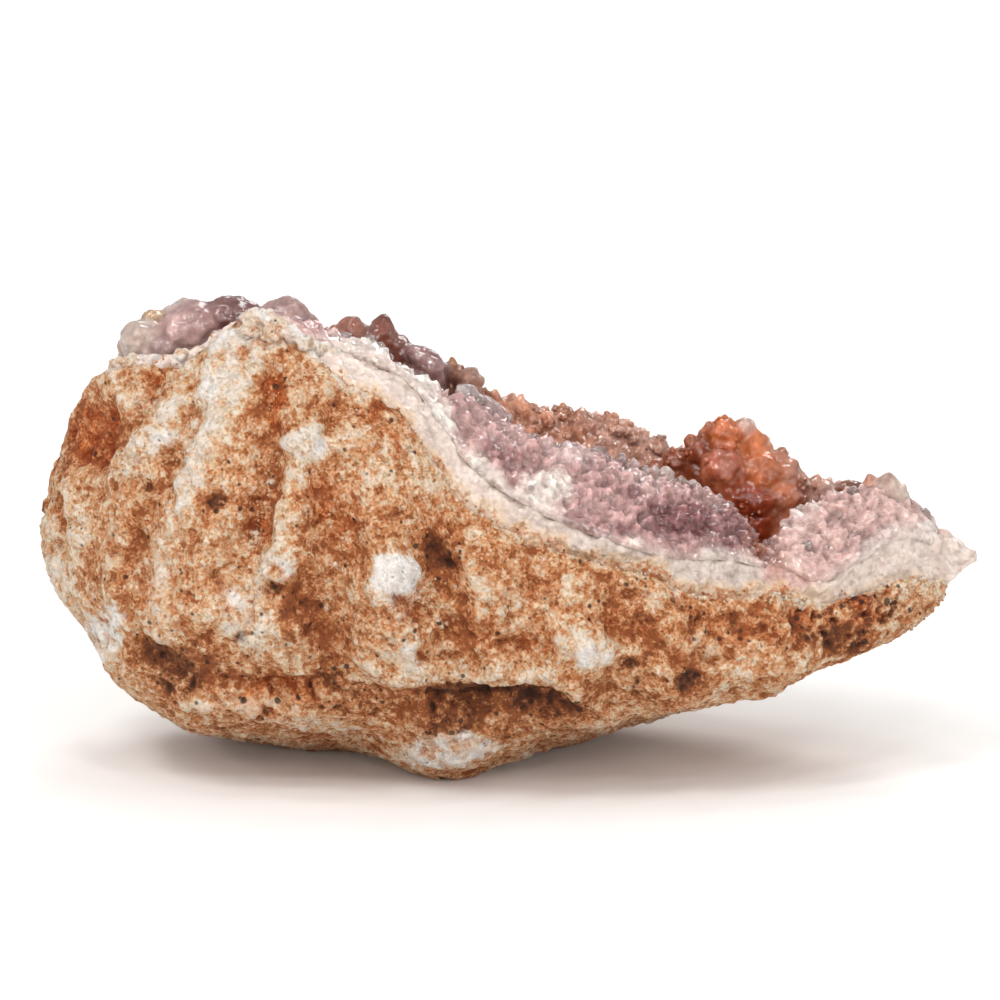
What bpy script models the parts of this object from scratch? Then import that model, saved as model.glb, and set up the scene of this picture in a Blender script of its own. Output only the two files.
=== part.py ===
"""Amethyst geode: a broken piece of a geode, lying on its natural underside.

A weathered rock rind carries a band of milky quartz, which carries a crust of amethyst points (the
druse). The break opens the hollow to the top: it runs from a high blunt left end to a low pointed
right end. Three groups of larger crystals stand on the druse.

Millimetres in the tables, metres in the scene. +X runs to the pointed end, +Y away from the
viewer's side, +Z up. The origin is under the middle of the stone, on the surface it lies on.
"""

import math

import bmesh
import bpy
import numpy as np
from mathutils import Matrix, Vector, noise

MM = 0.001

# Driving dimensions, in millimetres.
LEFT_END = -95.0
RIGHT_END = 95.0
BAND_START = -80.0  # left of it the stone is rind all through
DRUSE_START = -76.0
DRUSE_END = 86.0
RIND_END = 87.4  # the pointed end beyond it is bare quartz
RIND_THICKNESS = 6.5
DRUSE_THICKNESS = 4.5
GAP = 0.45  # between the layers
SEAT_GAP = 0.7  # under the larger crystals, where a thinner one closes up in the hollows of the druse
LEFT_ROUNDING = 9.0  # length over which the blunt end rounds off
FAR_EDGE_REACH = 13.0  # from the far crest out to the rind
FAR_EDGE_DROP = 13.0

# How finely the solids are faceted.
STATION_SPACING = 4.9
FRONT_FACETS = 19
BACK_FACETS = 14
BED_FACETS = 12  # on each face between two layers
DRUSE_FACETS = 22
STRIP_FACETS = 2

# Guide rails along the stone, as (x, y, z). Each cross-section is drawn through them.
NEAR_EDGE = (  # where the rind meets the white band on the viewer's side
    (-93.5, -3, 60), (-90, -6, 72), (-86, -11, 80), (-81.5, -16, 84), (-77.5, -20, 86), (-70, -24, 87),
    (-65.5, -25, 86), (-59, -26, 92), (-53.5, -26, 96.5), (-49.5, -27, 98), (-46, -28, 97),
    (-43.5, -29, 95.5), (-39.5, -30, 92), (-35, -32, 87.5), (-27.5, -35, 83), (-20, -37, 80),
    (-18, -38, 76.5), (-16, -38.5, 71),
    (-11.5, -40, 64), (-6, -41, 60), (2, -41.5, 56), (10, -41.5, 52.5), (17.5, -41, 50), (26, -39.5, 48),
    (33.5, -38, 44), (40, -36, 42), (45.5, -34, 41), (51.5, -31, 42.5), (58, -29, 40), (61, -28, 38),
    (67.5, -25, 39.5), (74.5, -20.5, 39.5), (77.5, -18, 41), (81.5, -15, 41.5), (84, -13, 38.5),
    (87.5, -9.5, 39.5), (95, -2.4, 41),
)
NEAR_CREST = (  # the ridge of crystals above it, with the notch that opens the hollow
    (-91, 0, 73), (-86.5, -4, 79), (-81.5, -8, 83), (-74, -12, 85), (-66, -15, 85.5), (-58, -15, 88),
    (-50, -15, 93), (-44, -15, 93), (-38, -15, 91), (-33, -16, 89.5), (-28, -17, 88.5), (-23, -18, 86),
    (-16.5, -20, 82.5), (-10.5, -21, 79.5), (-5.5, -21.5, 78), (0.5, -22, 75), (5, -22, 71), (12, -22, 70.5),
    (16, -21.5, 69.5), (21.5, -21, 66.5), (25, -20.5, 63.5), (28, -20, 63), (35, -18, 61.5), (39, -17, 60.5),
    (43.5, -16, 57.5), (46.5, -15, 53.5), (50, -14.5, 46), (52.5, -14.5, 43.5), (55, -13.5, 52),
    (58.5, -10, 57), (64.5, -8, 57.5), (71.5, -6, 58), (75.5, -4.5, 59), (79.5, -3.5, 56.5),
    (83, -3, 52.3), (87, -2, 48.8), (95, -1, 44),
)
FAR_CREST = (
    (-91, 3, 73), (-82.5, 10, 80), (-74, 19, 84), (-66, 24, 86), (-53.5, 27, 87), (-41.5, 29, 85.5),
    (-33, 30, 82), (-21.5, 30, 78.5), (-13.5, 30, 75.5), (-8, 30, 72.5), (-2, 30, 69.5), (6.5, 30, 68),
    (14.5, 30, 67), (21, 29.5, 65.5), (25, 29, 63), (31.5, 28.5, 59.5), (37.5, 27.5, 58), (48, 25, 56.5),
    (56, 21, 55), (66, 15, 54), (73, 11, 55), (79.5, 7, 54.5), (86, 3.5, 49.5), (95, 1, 44),
)
HOLLOW_FLOOR = (
    (-90, 0, 72), (-80, 1, 78.5), (-70, 2, 79), (-58, 3, 76), (-46, 4, 65), (-34, 5, 54), (-18, 6, 45),
    (0, 6, 39), (18, 6, 34), (34, 6, 30), (46, 6, 29), (54, 5, 31), (62, 4, 40), (70, 2.5, 48),
    (76, 2, 53), (80, 1.5, 53.6), (84, 1, 51.6), (88, 0.6, 48.3), (95, 0, 44.1),
)
FRONT_BULGE = (
    (-90, -17, 52), (-78, -34, 48), (-60, -43, 46), (-42, -47, 46), (-24, -48, 42), (-6, -47, 36),
    (12, -44, 31), (30, -42, 27), (45, -38, 25), (60, -31, 27), (74, -23, 31), (84, -15, 34),
    (88.5, -10, 38), (95, -3, 40),
)
FRONT_FOOT = (
    (-90, -6, 36), (-82, -14, 23.5), (-74, -20, 16.5), (-62, -24, 12.5), (-48, -26, 13), (-36, -25, 13),
    (-28, -21, 9), (-20, -17, 2), (-13, -15, -1.5), (-6, -15, 0), (2, -18, 7), (12, -20, 10.5),
    (22, -20, 12.5), (40, -19, 16), (49, -18, 17), (56, -15, 20), (60, -14, 22.3), (68, -12, 23.2),
    (72, -11, 25.4), (80.4, -8, 28), (84.5, -6, 30.7), (86.5, -5, 33.5), (88.5, -4, 36.3), (92.6, -2, 38.6),
    (95, -1.5, 39.3),
)
KEEL = (
    (-90, 6, 33), (-80, 12, 17), (-68, 16, 6), (-52, 18, 0), (-40, 18, -2.5), (-30, 18, -3), (-8, 18, -3),
    (10, 18, -1.5), (24, 17, 3.5), (40, 15, 9), (56, 11, 15), (66, 8, 20), (80, 4, 26), (84.5, 3, 29.5),
    (88.5, 2, 35), (92.6, 1, 38), (95, 0.5, 39),
)
BACK_BULGE = (
    (-90, 18, 50), (-76, 37, 46), (-58, 46, 44), (-36, 50, 42), (-12, 50, 38), (10, 48, 34),
    (30, 44, 32), (48, 37, 31), (62, 28, 33), (76, 18, 35), (84, 12, 37), (88.5, 8, 39), (95, 3, 40.8),
)
BAND_SHARE = (  # how much of the near slope, from rind to crest, is bare white band
    (-90, 0.5), (-40, 0.5), (-35, 0.62), (-28, 0.8), (-17, 0.72), (-12, 0.5), (-6, 0.33), (6, 0.27),
    (18, 0.21), (28, 0.2), (35, 0.27), (44, 0.4), (51, 0.55), (57, 0.3), (62, 0.15), (67, 0.26), (77, 0.45),
    (84, 0.6), (95, 0.8),
)

# Folds of the rind as (x0, z0, x1, z1, radius, height), seen from the front and from the back.
FRONT_FOLDS = (
    (-78, 87, -88, 77, 7, 2), (-90, 75, -92, 64, 4.5, 2.5), (-92, 51, -91, 42, 3, 3),
    (-64, 81, -77, 69, 4.5, 4), (-77, 69, -86, 60, 4, 4.5), (-86, 58, -87, 40, 4.5, 4.5),
    (-80, 57, -80, 36, 6, 2.5), (-49, 91, -57, 82, 6, 3), (-57, 82, -65, 67, 5, 4.5),
    (-65, 67, -69, 56, 5, 4.5), (-68, 55, -68, 34, 6, 3.5), (-37, 87, -41, 74, 6.5, 3.5),
    (-41, 74, -44, 55, 6, 4), (-45, 52, -44, 50, 3.5, 3), (-55, 43, -49, 34, 8, 5),
    (-22, 82, -25, 68, 8.5, 3.5), (-22, 50, -23, 43, 5.5, 4.5), (-31, 39, -21, 31, 5.5, 4.5),
    (-62, 19, -38, 16, 4, 3), (-18, 8, -8, 7, 5, 3), (-8, 52, 22, 34, 8, 3), (22, 21, 38, 23, 5, 3),
    (36, 38, 52, 35, 5.5, 2.5), (68, 33, 83, 36, 4, 2),
    (-71, 82, -79, 72, 3, -4), (-79, 72, -87, 63, 3, -3.5), (-60, 80, -66, 69, 3, -4),
    (-71, 59, -75, 46, 3, -4.5), (-75, 46, -76, 28, 3, -2.5), (-47, 82, -50, 73, 3.5, -3.5),
    (-50, 73, -54, 52, 4, -4), (-34, 68, -35, 43, 4, -3.5), (-41, 43, -35, 30, 4.5, -5),
    (-58, 25, -36, 23, 3, -4), (-18, 19, 6, 21, 4.5, -8), (6, 21, 18, 16, 3, -5),
    (-13, 52, -13, 43, 3, -3.5), (38, 26, 49, 26, 3, -2), (61, 26, 68, 26, 3, -3),
)
BACK_FOLDS = (
    (-78, 74, -84, 48, 6, 3.5), (-66, 74, -72, 50, 6, 4.5), (-72, 50, -66, 24, 6, 4),
    (-50, 72, -54, 48, 7, 4.5), (-54, 48, -48, 22, 7, 4), (-32, 66, -35, 42, 7, 4.5),
    (-35, 42, -26, 18, 7, 3.5), (-14, 60, -16, 38, 7, 4), (-14, 36, -4, 16, 6, 4),
    (4, 54, 4, 34, 7, 4), (24, 48, 22, 26, 7, 4), (42, 42, 44, 24, 6, 3.5),
    (60, 42, 66, 28, 5, 2.5), (74, 44, 80, 36, 4, 2),
    (-74, 62, -78, 40, 4, -3), (-59, 62, -64, 34, 4, -4), (-42, 60, -44, 30, 4, -4),
    (-24, 56, -25, 28, 4, -4), (-5, 52, -6, 28, 4, -3.5), (14, 46, 13, 24, 4, -3.5),
    (33, 42, 33, 22, 4, -3), (52, 40, 55, 26, 4, -2.5),
)
ROUGHNESS = 1.0  # height of the rind's small lumps
ROUGHNESS_SIZE = 11.0

# Blunt points, as (x, y, z of the foot, radius, height, lean to +X in degrees, lean to -Y, turn).
LEFT_POINTS = (
    (-65, -6, 80.5, 10.5, 16.5, -4, 4, 12), (-54.5, 3, 80, 9, 15.5, 6, 0, 40),
    (-44.5, 0, 80, 8.5, 15.5, 6, 0, 20),
    (-72, -7, 81, 6.5, 9, -8, 6, 30), (-70, 5, 79.5, 5.5, 12.5, -6, 0, 0),
)
SMOKY_POINTS = (
    (-28, 24, 72, 6.2, 16.5, 2, 0, 20), (-36, 20, 72, 6.2, 14, -6, 6, 45), (-21, 26, 68, 6, 13, 4, 0, 50),
    (-12, 24, 66, 6, 11.5, 8, 0, 10),
)
STAINED_POINTS = (
    (45.5, 12, 38, 10, 31.5, -3, 0, 15), (51, 11, 38, 8.5, 26, 3, 0, 40), (39, 14, 38, 7.5, 24, -8, 0, 5),
    (55, 9, 38, 6.5, 19, 8, 4, 30), (42.5, 5, 34, 9, 25, -4, 6, 25), (49.5, 4, 34, 7.5, 21, 4, 4, 35),
)

COLOURS = {  # base colour, roughness, share of light let through
    "matrix_rind": ((0.52, 0.27, 0.14, 1), 0.95, 0.0),
    "quartz_band": ((0.78, 0.72, 0.66, 1), 0.45, 0.1),
    "amethyst_druse": ((0.42, 0.27, 0.33, 1), 0.2, 0.3),
    "left_amethyst_points": ((0.45, 0.30, 0.34, 1), 0.15, 0.4),
    "smoky_points": ((0.30, 0.17, 0.15, 1), 0.15, 0.4),
    "iron_stained_points": ((0.60, 0.20, 0.08, 1), 0.2, 0.3),
}


def along(rail, x):
    """The rail's other coordinates at x, on a curve that never overshoots between its points."""
    table = np.array(rail, float)
    xs, values = table[:, 0], table[:, 1:]
    x = min(max(x, xs[0]), xs[-1])
    steps = np.diff(xs)[:, None]
    slopes = np.diff(values, axis=0) / steps
    before, after = slopes[:-1], slopes[1:]
    same_way = before * after > 0
    inner = np.where(same_way, 2 * before * after / np.where(same_way, before + after, 1), 0)
    tangents = np.vstack([slopes[:1], inner, slopes[-1:]])
    i = min(int(np.searchsorted(xs, x, side="right")) - 1, len(xs) - 2)
    h = xs[i + 1] - xs[i]
    t = (x - xs[i]) / h
    return (
        values[i] * (2 * t**3 - 3 * t**2 + 1)
        + tangents[i] * h * (t**3 - 2 * t**2 + t)
        + values[i + 1] * (3 * t**2 - 2 * t**3)
        + tangents[i + 1] * h * (t**3 - t**2)
    )


def smooth_step(low, high, value):
    t = min(max((value - low) / (high - low), 0.0), 1.0)
    return t * t * (3 - 2 * t)


def spline(points, count):
    """count + 1 points, evenly spaced, on a smooth open curve through the given points."""
    given = np.array(points, float)
    ends = np.vstack([2 * given[0] - given[1], given, 2 * given[-1] - given[-2]])
    fine = []
    for a, b, c, d in zip(ends, ends[1:], ends[2:], ends[3:]):
        for t in np.arange(0, 1, 0.05):
            bend = (2 * a - 5 * b + 4 * c - d) * t**2 + (3 * b - a - 3 * c + d) * t**3
            fine.append(0.5 * (2 * b + (c - a) * t + bend))
    fine = np.array(fine + [given[-1]])
    return resample(fine, count)


def resample(points, count):
    """count + 1 points, evenly spaced, along a line through many close points."""
    lengths = np.concatenate([[0], np.cumsum(np.linalg.norm(np.diff(points, axis=0), axis=1))])
    wanted = np.linspace(0, lengths[-1], count + 1)
    return np.column_stack([np.interp(wanted, lengths, points[:, k]) for k in range(points.shape[1])])


def offset(points, distances):
    """An open curve's points moved to its left by the given distances."""
    along_curve = np.gradient(points, axis=0)
    normals = np.column_stack([-along_curve[:, 1], along_curve[:, 0]])
    return points + normals / np.linalg.norm(normals, axis=1)[:, None] * np.array(distances)[:, None]


def part_way(a, b, share_y, share_z):
    return np.array([a[0] + (b[0] - a[0]) * share_y, a[1] + (b[1] - a[1]) * share_z])


class Section:
    """The stone's cross-section at one x: guide points (y, z) for the rind, the bed and the druse."""

    def __init__(self, x):
        self.x = x
        self.near_edge = along(NEAR_EDGE, x)
        self.near_crest = along(NEAR_CREST, x)
        self.far_crest = along(FAR_CREST, x)
        self.floor = along(HOLLOW_FLOOR, x)
        self.front = along(FRONT_BULGE, x)
        self.foot = along(FRONT_FOOT, x)
        self.keel = along(KEEL, x)
        self.back = along(BACK_BULGE, x)
        self.width = self.back[0] - self.front[0]
        self.fullness = min(1.0, self.width / 62)
        reach = min(1.0, self.width / 80)
        self.far_edge = self.far_crest + np.array([FAR_EDGE_REACH, -FAR_EDGE_DROP]) * reach
        self.round_off()
        share = float(along(BAND_SHARE, x)[0])
        swell = np.array([-1.2, 1.2]) * self.fullness
        self.near_line = part_way(self.near_edge, self.near_crest, share, share) + swell
        self.far_line = part_way(self.far_edge, self.far_crest, 0.45, 0.45) - swell * np.array([1, -1])

    def round_off(self):
        """Shrinks the section towards its middle over the blunt end's last millimetres."""
        past = max(0.0, LEFT_END + LEFT_ROUNDING - self.x) / LEFT_ROUNDING
        scale = math.sqrt(max(0.0, 1 - past**2)) * 0.78 + 0.22
        self.width *= scale
        middle = np.array([2.0, (self.keel[1] + self.near_edge[1]) / 2])
        crests = ("near_edge", "near_crest", "far_crest", "far_edge", "floor")
        for name in (*crests, "front", "foot", "keel", "back"):
            guide = getattr(self, name)
            setattr(self, name, middle + (guide - middle) * scale)

    def outside(self):
        """Guide points of the weathered outside, from the near edge under the stone to the far edge."""
        return [
            self.near_edge,
            part_way(self.near_edge, self.front, 0.68, 0.34),
            self.front,
            part_way(self.front, self.foot, 0.36, 0.62),
            self.foot,
            self.keel,
            part_way(self.keel, self.back, 0.74, 0.30),
            self.back,
            part_way(self.back, self.far_edge, 0.30, 0.62),
            self.far_edge,
        ]

    def rind_thickness(self):
        """The rind thins where the stone is thin."""
        thins = smooth_step(RIGHT_END + 12, RIGHT_END - 30, self.x)
        return RIND_THICKNESS * min(1.0, self.width / 45) * thins

    def bed(self):
        """The face between rind and band. It rises to the top of the stone at the blunt end."""
        guides = np.array(self.outside())
        depth = self.rind_thickness()
        thick = smooth_step(45, 25, self.x) * smooth_step(-75, -55, self.x)  # at the undercut foot
        shares = np.array([0.3, 0.8, 1, 1, 1, 1, 1, 1, 0.8, 0.3])
        shares += thick * np.array([0, 0, 0, 0.3, 0.6, 0.15, 0, 0, 0, 0])
        inside = offset(guides, depth * shares)
        inside[0] = self.near_edge + np.array([depth * 0.42, 0.0])
        inside[-1] = self.far_edge - np.array([depth * 0.42, 0.0])
        chord = inside[0] + (inside[-1] - inside[0]) * np.linspace(0, 1, len(inside))[:, None]
        lid = smooth_step(-68, -84, self.x)
        dish = np.sin(np.linspace(0, math.pi, len(inside)))[:, None]
        sunk = chord - np.array([0, smooth_step(-93, -85, self.x)]) - dish * (0, 0.3)
        return inside * (1 - lid) + sunk * lid

    def druse_thickness(self):
        """The crust thins out towards both ends of the hollow, and isn't there on the pointed end."""
        thins = smooth_step(-100, -66, self.x) * smooth_step(112, 66, self.x)
        ends = smooth_step(DRUSE_END + 4, DRUSE_END + 1, self.x)
        return DRUSE_THICKNESS * self.fullness * thins * ends

    def crust(self, depth):
        """The druse's face, from white line to white line over the crests and the hollow's floor."""
        swell = 0.9 * self.fullness
        guides_and_ways_into_rock = (
            (self.near_line, (0.10, -0.10)),
            (part_way(self.near_line, self.near_crest, 0.5, 0.5) + (-swell, swell), (0.5, -0.8)),
            (self.near_crest, (0.25, -1.25)),
            (part_way(self.near_crest, self.floor, 0.34, 0.55), (-0.75, -0.8)),
            (self.floor, (0, -1.0)),
            (part_way(self.far_crest, self.floor, 0.30, 0.55), (0.75, -0.8)),
            (self.far_crest, (-0.25, -1.25)),
            (part_way(self.far_line, self.far_crest, 0.5, 0.5) + (swell, swell), (-0.5, -0.8)),
            (self.far_line, (-0.10, -0.10)),
        )
        return np.array([guide + np.array(way) * depth for guide, way in guides_and_ways_into_rock])


def fold_height(point, normal):
    """How far the folds and lumps lift the rind at this point."""
    folds, facing = (FRONT_FOLDS, -normal.y) if normal.y < 0 else (BACK_FOLDS, normal.y)
    weight = smooth_step(0.0, 0.55, facing)
    height = 0.0
    for x0, z0, x1, z1, radius, rise in folds:
        run = Vector((x1 - x0, z1 - z0))
        reach = Vector((point.x - x0, point.z - z0))
        share = min(max(reach.dot(run) / max(run.length_squared, 1e-6), 0), 1)
        away = (reach - run * share).length / (radius * 1.6)
        if away < 1:
            height += rise * (1 - away * away) ** 2 * 0.8
    lump = ROUGHNESS * noise.fractal(point / ROUGHNESS_SIZE, 1.0, 2.0, 3)
    return height * weight + lump * smooth_step(RIGHT_END, RIGHT_END - 25, point.x)


def swelled(grid, heights, room=None):
    """A grid of points moved along its own normals, and inward by no more than the room there is."""
    step_along = np.gradient(grid, axis=0)
    step_round = np.gradient(grid, axis=1)
    normals = np.cross(step_along, step_round)
    normals /= np.maximum(np.linalg.norm(normals, axis=2), 1e-9)[:, :, None]
    moved = grid.copy()
    for i, j in np.ndindex(grid.shape[:2]):
        height = heights(Vector(grid[i, j]), Vector(normals[i, j]))
        if room is not None:
            height = max(height, -room[i, j])
        height *= min(1.0, 0.5 * min(i, grid.shape[0] - 1 - i))
        moved[i, j] += normals[i, j] * height
    return moved


def grid_through(stations, curve_at):
    """Rows of 3-D points, one row for each station, from a function that gives a (y, z) curve at x."""
    return np.array([[[x, y, z] for y, z in curve_at(x)] for x in stations])


def fade_to_edge(grid, moved, rows):
    """Keeps the first and last points of each row in place, and eases the move in over a few points."""
    count = grid.shape[1]
    share = np.array([min(1.0, min(j, count - 1 - j) / rows) for j in range(count)])
    return grid + (moved - grid) * share[None, :, None]


def room_above_bed(grid, stations):
    """How far each point of the outside may sink: most of its distance to the bed."""
    room = np.zeros(grid.shape[:2])
    for i, x in enumerate(stations):
        bed = spline(Section(x).bed(), 80)
        for j in range(grid.shape[1]):
            room[i, j] = 0.6 * np.min(np.linalg.norm(bed - grid[i, j, 1:], axis=1))
    return room


def new_object(name, mesh_maker):
    """A named object with its own finish, made from a bmesh in millimetres."""
    shape = bmesh.new()
    mesh_maker(shape)
    bmesh.ops.recalc_face_normals(shape, faces=shape.faces)
    bmesh.ops.scale(shape, vec=Vector((MM, MM, MM)), verts=shape.verts)
    mesh = bpy.data.meshes.new(name)
    shape.to_mesh(mesh)
    shape.free()
    obj = bpy.data.objects.new(name, mesh)
    bpy.context.scene.collection.objects.link(obj)
    if name in COLOURS:
        mesh.materials.append(finish(name))
    return obj


def finish(name):
    colour, roughness, transmission = COLOURS[name]
    material = bpy.data.materials.new(name)
    material.use_nodes = True
    shader = material.node_tree.nodes["Principled BSDF"]
    shader.inputs["Base Color"].default_value = colour
    shader.inputs["Roughness"].default_value = roughness
    shader.inputs["Metallic"].default_value = 0.0
    shader.inputs["Transmission Weight"].default_value = transmission
    shader.inputs["IOR"].default_value = 1.54
    return material


def loft(shape, rings, turns_back_at=None):
    """Bridges closed rings of points, one after another, and caps both ends.

    A ring that holds one layer's face out and another's back says where it turns back: the facets are split
    the same way on the two layers that share a bed, so that they can't cross.
    """
    rows = [[shape.verts.new(p) for p in ring] for ring in rings]
    for one, two in zip(rows, rows[1:]):
        for j in range(len(one)):
            k = (j + 1) % len(one)
            if turns_back_at is None or j < turns_back_at:
                halves = (one[j], one[k], two[k]), (one[j], two[k], two[j])
            else:
                halves = (one[j], one[k], two[j]), (one[k], two[k], two[j])
            for half in halves:
                shape.faces.new(half)
    for end in (rows[0], rows[-1]):
        cap = shape.faces.new(end)
        cap.normal_update()
        bmesh.ops.triangulate(shape, faces=[cap], ngon_method="EAR_CLIP")


def lay_flat(shape):
    """Cuts off what lies below the resting plane, which leaves a real flat face there."""
    geometry = shape.verts[:] + shape.edges[:] + shape.faces[:]
    cut = bmesh.ops.bisect_plane(
        shape, geom=geometry, plane_co=(0, 0, 0), plane_no=(0, 0, -1), clear_outer=True, dist=0.001
    )
    edges = [e for e in cut["geom_cut"] if isinstance(e, bmesh.types.BMEdge)]
    bmesh.ops.holes_fill(shape, edges=edges, sides=0)


def stations_between(first, last):
    """Places along the stone where all its layers have a cross-section, so that their faces run alongside."""
    middle = np.linspace(DRUSE_START, DRUSE_END, round((DRUSE_END - DRUSE_START) / STATION_SPACING) + 1)
    places = [LEFT_END, -93.2, -90.2, -85.5, BAND_START, *middle, RIND_END, 91.0, RIGHT_END]
    return [x for x in places if first <= x <= last]


def make_rind():
    """The weathered outside shell, open along the top."""
    stations = stations_between(LEFT_END, RIND_END)

    def outside(x):
        guides = Section(x).outside()
        outline = spline(guides, 200)
        under = int(np.argmin(np.abs(outline - Section(x).keel).sum(axis=1)))
        front, back = resample(outline[: under + 1], FRONT_FACETS), resample(outline[under:], BACK_FACETS)
        return np.vstack([front, back[1:]])

    smooth = grid_through(stations, outside)
    outer = fade_to_edge(smooth, swelled(smooth, fold_height, room_above_bed(smooth, stations)), 3)
    inner = grid_through(stations, lambda x: spline(Section(x).bed(), BED_FACETS)[::-1])

    def build(shape):
        loft(shape, np.concatenate([outer, inner], axis=1), outer.shape[1])
        lay_flat(shape)

    return new_object("matrix_rind", build)


def make_band():
    """The milky quartz layer. It shows as a white strip along both edges of the break."""
    stations = stations_between(BAND_START, RIGHT_END)

    def ring(x):
        section = Section(x)
        bed = offset(spline(section.bed(), BED_FACETS), np.full(BED_FACETS + 1, GAP))
        gap = GAP * smooth_step(DRUSE_END + 4, DRUSE_END + 1, x)
        under_druse = spline(section.crust(section.druse_thickness()), BED_FACETS)
        under_druse = offset(under_druse, np.full(BED_FACETS + 1, -gap))
        near_middle = part_way(under_druse[0], bed[0], 0.5, 0.42)
        near_strip = spline([under_druse[0], near_middle, bed[0]], STRIP_FACETS)
        far_middle = part_way(bed[-1], under_druse[-1], 0.5, 0.58)
        far_strip = spline([bed[-1], far_middle, under_druse[-1]], STRIP_FACETS)
        return np.vstack([bed, far_strip[1:], under_druse[::-1][1:], near_strip[1:-1]])

    rings = grid_through(stations, ring)
    return new_object("quartz_band", lambda shape: loft(shape, rings, BED_FACETS + 1 + STRIP_FACETS))


def crystal_bumps(point, normal):
    """The facets of a crust of small points: low lumps about 5 mm across."""
    height = 0.9 * noise.noise(point / 2.6) + 0.6 * noise.noise(point / 5.5)
    return height * smooth_step(-76, -66, point.x) * smooth_step(DRUSE_END, DRUSE_END - 12, point.x)


def make_druse():
    """The crust of small amethyst points, grown together into one sheet that lines the hollow."""
    stations = stations_between(DRUSE_START, DRUSE_END)
    top = grid_through(stations, lambda x: spline(Section(x).crust(0.0), DRUSE_FACETS))
    top = fade_to_edge(top, swelled(top, crystal_bumps), 2)
    under = grid_through(
        stations, lambda x: spline(Section(x).crust(Section(x).druse_thickness()), BED_FACETS)[::-1]
    )
    rings = np.concatenate([top, under], axis=1)
    return new_object("amethyst_druse", lambda shape: loft(shape, rings, top.shape[1]))


def add_point(shape, spec):
    """One blunt quartz point: a six-sided prism with a six-sided tip."""
    x, y, z, radius, height, lean_x, lean_y, turn = spec
    place = (
        Matrix.Translation((x, y, z))
        @ Matrix.Rotation(math.radians(lean_x), 4, "Y")
        @ Matrix.Rotation(math.radians(lean_y), 4, "X")
        @ Matrix.Rotation(math.radians(turn), 4, "Z")
    )
    levels = ((0.0, 0.92), (0.5, 1.0), (0.82, 0.76), (1.0, 0.3))
    rows = []
    for rise, share in levels:
        row = []
        for k in range(6):
            angle = math.radians(60 * k)
            reach = radius * share * (1 + 0.12 * math.sin(2.7 * k + turn))
            corner = Vector((reach * math.cos(angle), reach * math.sin(angle), height * rise))
            row.append(place @ corner)
        rows.append(row)
    loft(shape, rows)


def make_points(name, specs, bed):
    """A group of blunt points, joined in one solid and cut to sit on the bed with a small gap."""
    points, *others = [
        new_object(name, lambda shape, spec=spec: add_point(shape, spec)) for spec in specs
    ]
    for other in others:
        boolean(points, other, "UNION")
    boolean(points, bed, "DIFFERENCE")
    keep_largest_body(points)
    for other in others:
        bpy.data.objects.remove(other)
    return points


def keep_largest_body(obj):
    """Puts the result of the Booleans in the mesh, without the loose chips that a cut leaves."""
    bpy.context.view_layer.update()
    result = bpy.data.meshes.new_from_object(obj.evaluated_get(bpy.context.evaluated_depsgraph_get()))
    obj.modifiers.clear()
    shape = bmesh.new()
    shape.from_mesh(result)
    bodies, left = [], set(shape.verts)
    while left:
        body, edge_of_body = set(), [left.pop()]
        while edge_of_body:
            vert = edge_of_body.pop()
            body.add(vert)
            found = {e.other_vert(vert) for e in vert.link_edges} & left
            left -= found
            edge_of_body.extend(found)
        bodies.append(body)
    largest = max(bodies, key=len)
    bmesh.ops.delete(shape, geom=[v for v in shape.verts if v not in largest])
    bmesh.ops.triangulate(shape, faces=shape.faces)
    bmesh.ops.dissolve_degenerate(shape, edges=shape.edges, dist=0.02 * MM)
    shape.to_mesh(obj.data)
    shape.free()


def boolean(obj, other, operation):
    modifier = obj.modifiers.new(operation.title(), "BOOLEAN")
    modifier.operation = operation
    modifier.object = other
    modifier.solver = "EXACT"


def make_bed_cutter(druse):
    """The druse, swollen a little: what the larger crystals are cut back from."""
    cutter = druse.copy()
    cutter.data = druse.data.copy()
    cutter.name = "bed_cutter"
    shape = bmesh.new()
    shape.from_mesh(cutter.data)
    shape.normal_update()
    for vert in shape.verts:
        vert.co += vert.normal * SEAT_GAP * MM
    shape.to_mesh(cutter.data)
    shape.free()
    bpy.context.scene.collection.objects.link(cutter)
    return cutter


def centre(objects):
    """Puts the middle of the whole stone's box over the origin."""
    bpy.context.view_layer.update()
    corners = np.array([obj.matrix_world @ Vector(corner) for obj in objects for corner in obj.bound_box])
    middle = (corners.min(axis=0) + corners.max(axis=0)) / 2
    for obj in objects:
        obj.location.x -= middle[0]
        obj.location.y -= middle[1]


def main():
    for obj in list(bpy.data.objects):
        bpy.data.objects.remove(obj)
    druse = make_druse()
    bed = make_bed_cutter(druse)
    pieces = [
        make_rind(),
        make_band(),
        druse,
        make_points("left_amethyst_points", LEFT_POINTS, bed),
        make_points("smoky_points", SMOKY_POINTS, bed),
        make_points("iron_stained_points", STAINED_POINTS, bed),
    ]
    bpy.data.objects.remove(bed)
    centre(pieces)


main()
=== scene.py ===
"""Looks of an amethyst geode: its weathered rind, its milky band and the crystals grown in it.

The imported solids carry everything. The rind, the band and the crust are refined from them, and the
crystals stand where those surfaces are. Lengths are millimetres until they go into a mesh.
"""

import logging
import math
from dataclasses import dataclass, field, replace
from enum import Enum
from typing import Callable, Sequence

import bpy
import numpy as np
from bpy.types import Material, Mesh, Node, NodeSocket, NodeTree, Object
from mathutils import Matrix, Vector, noise
from mathutils.bvhtree import BVHTree
from mathutils.kdtree import KDTree


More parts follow.
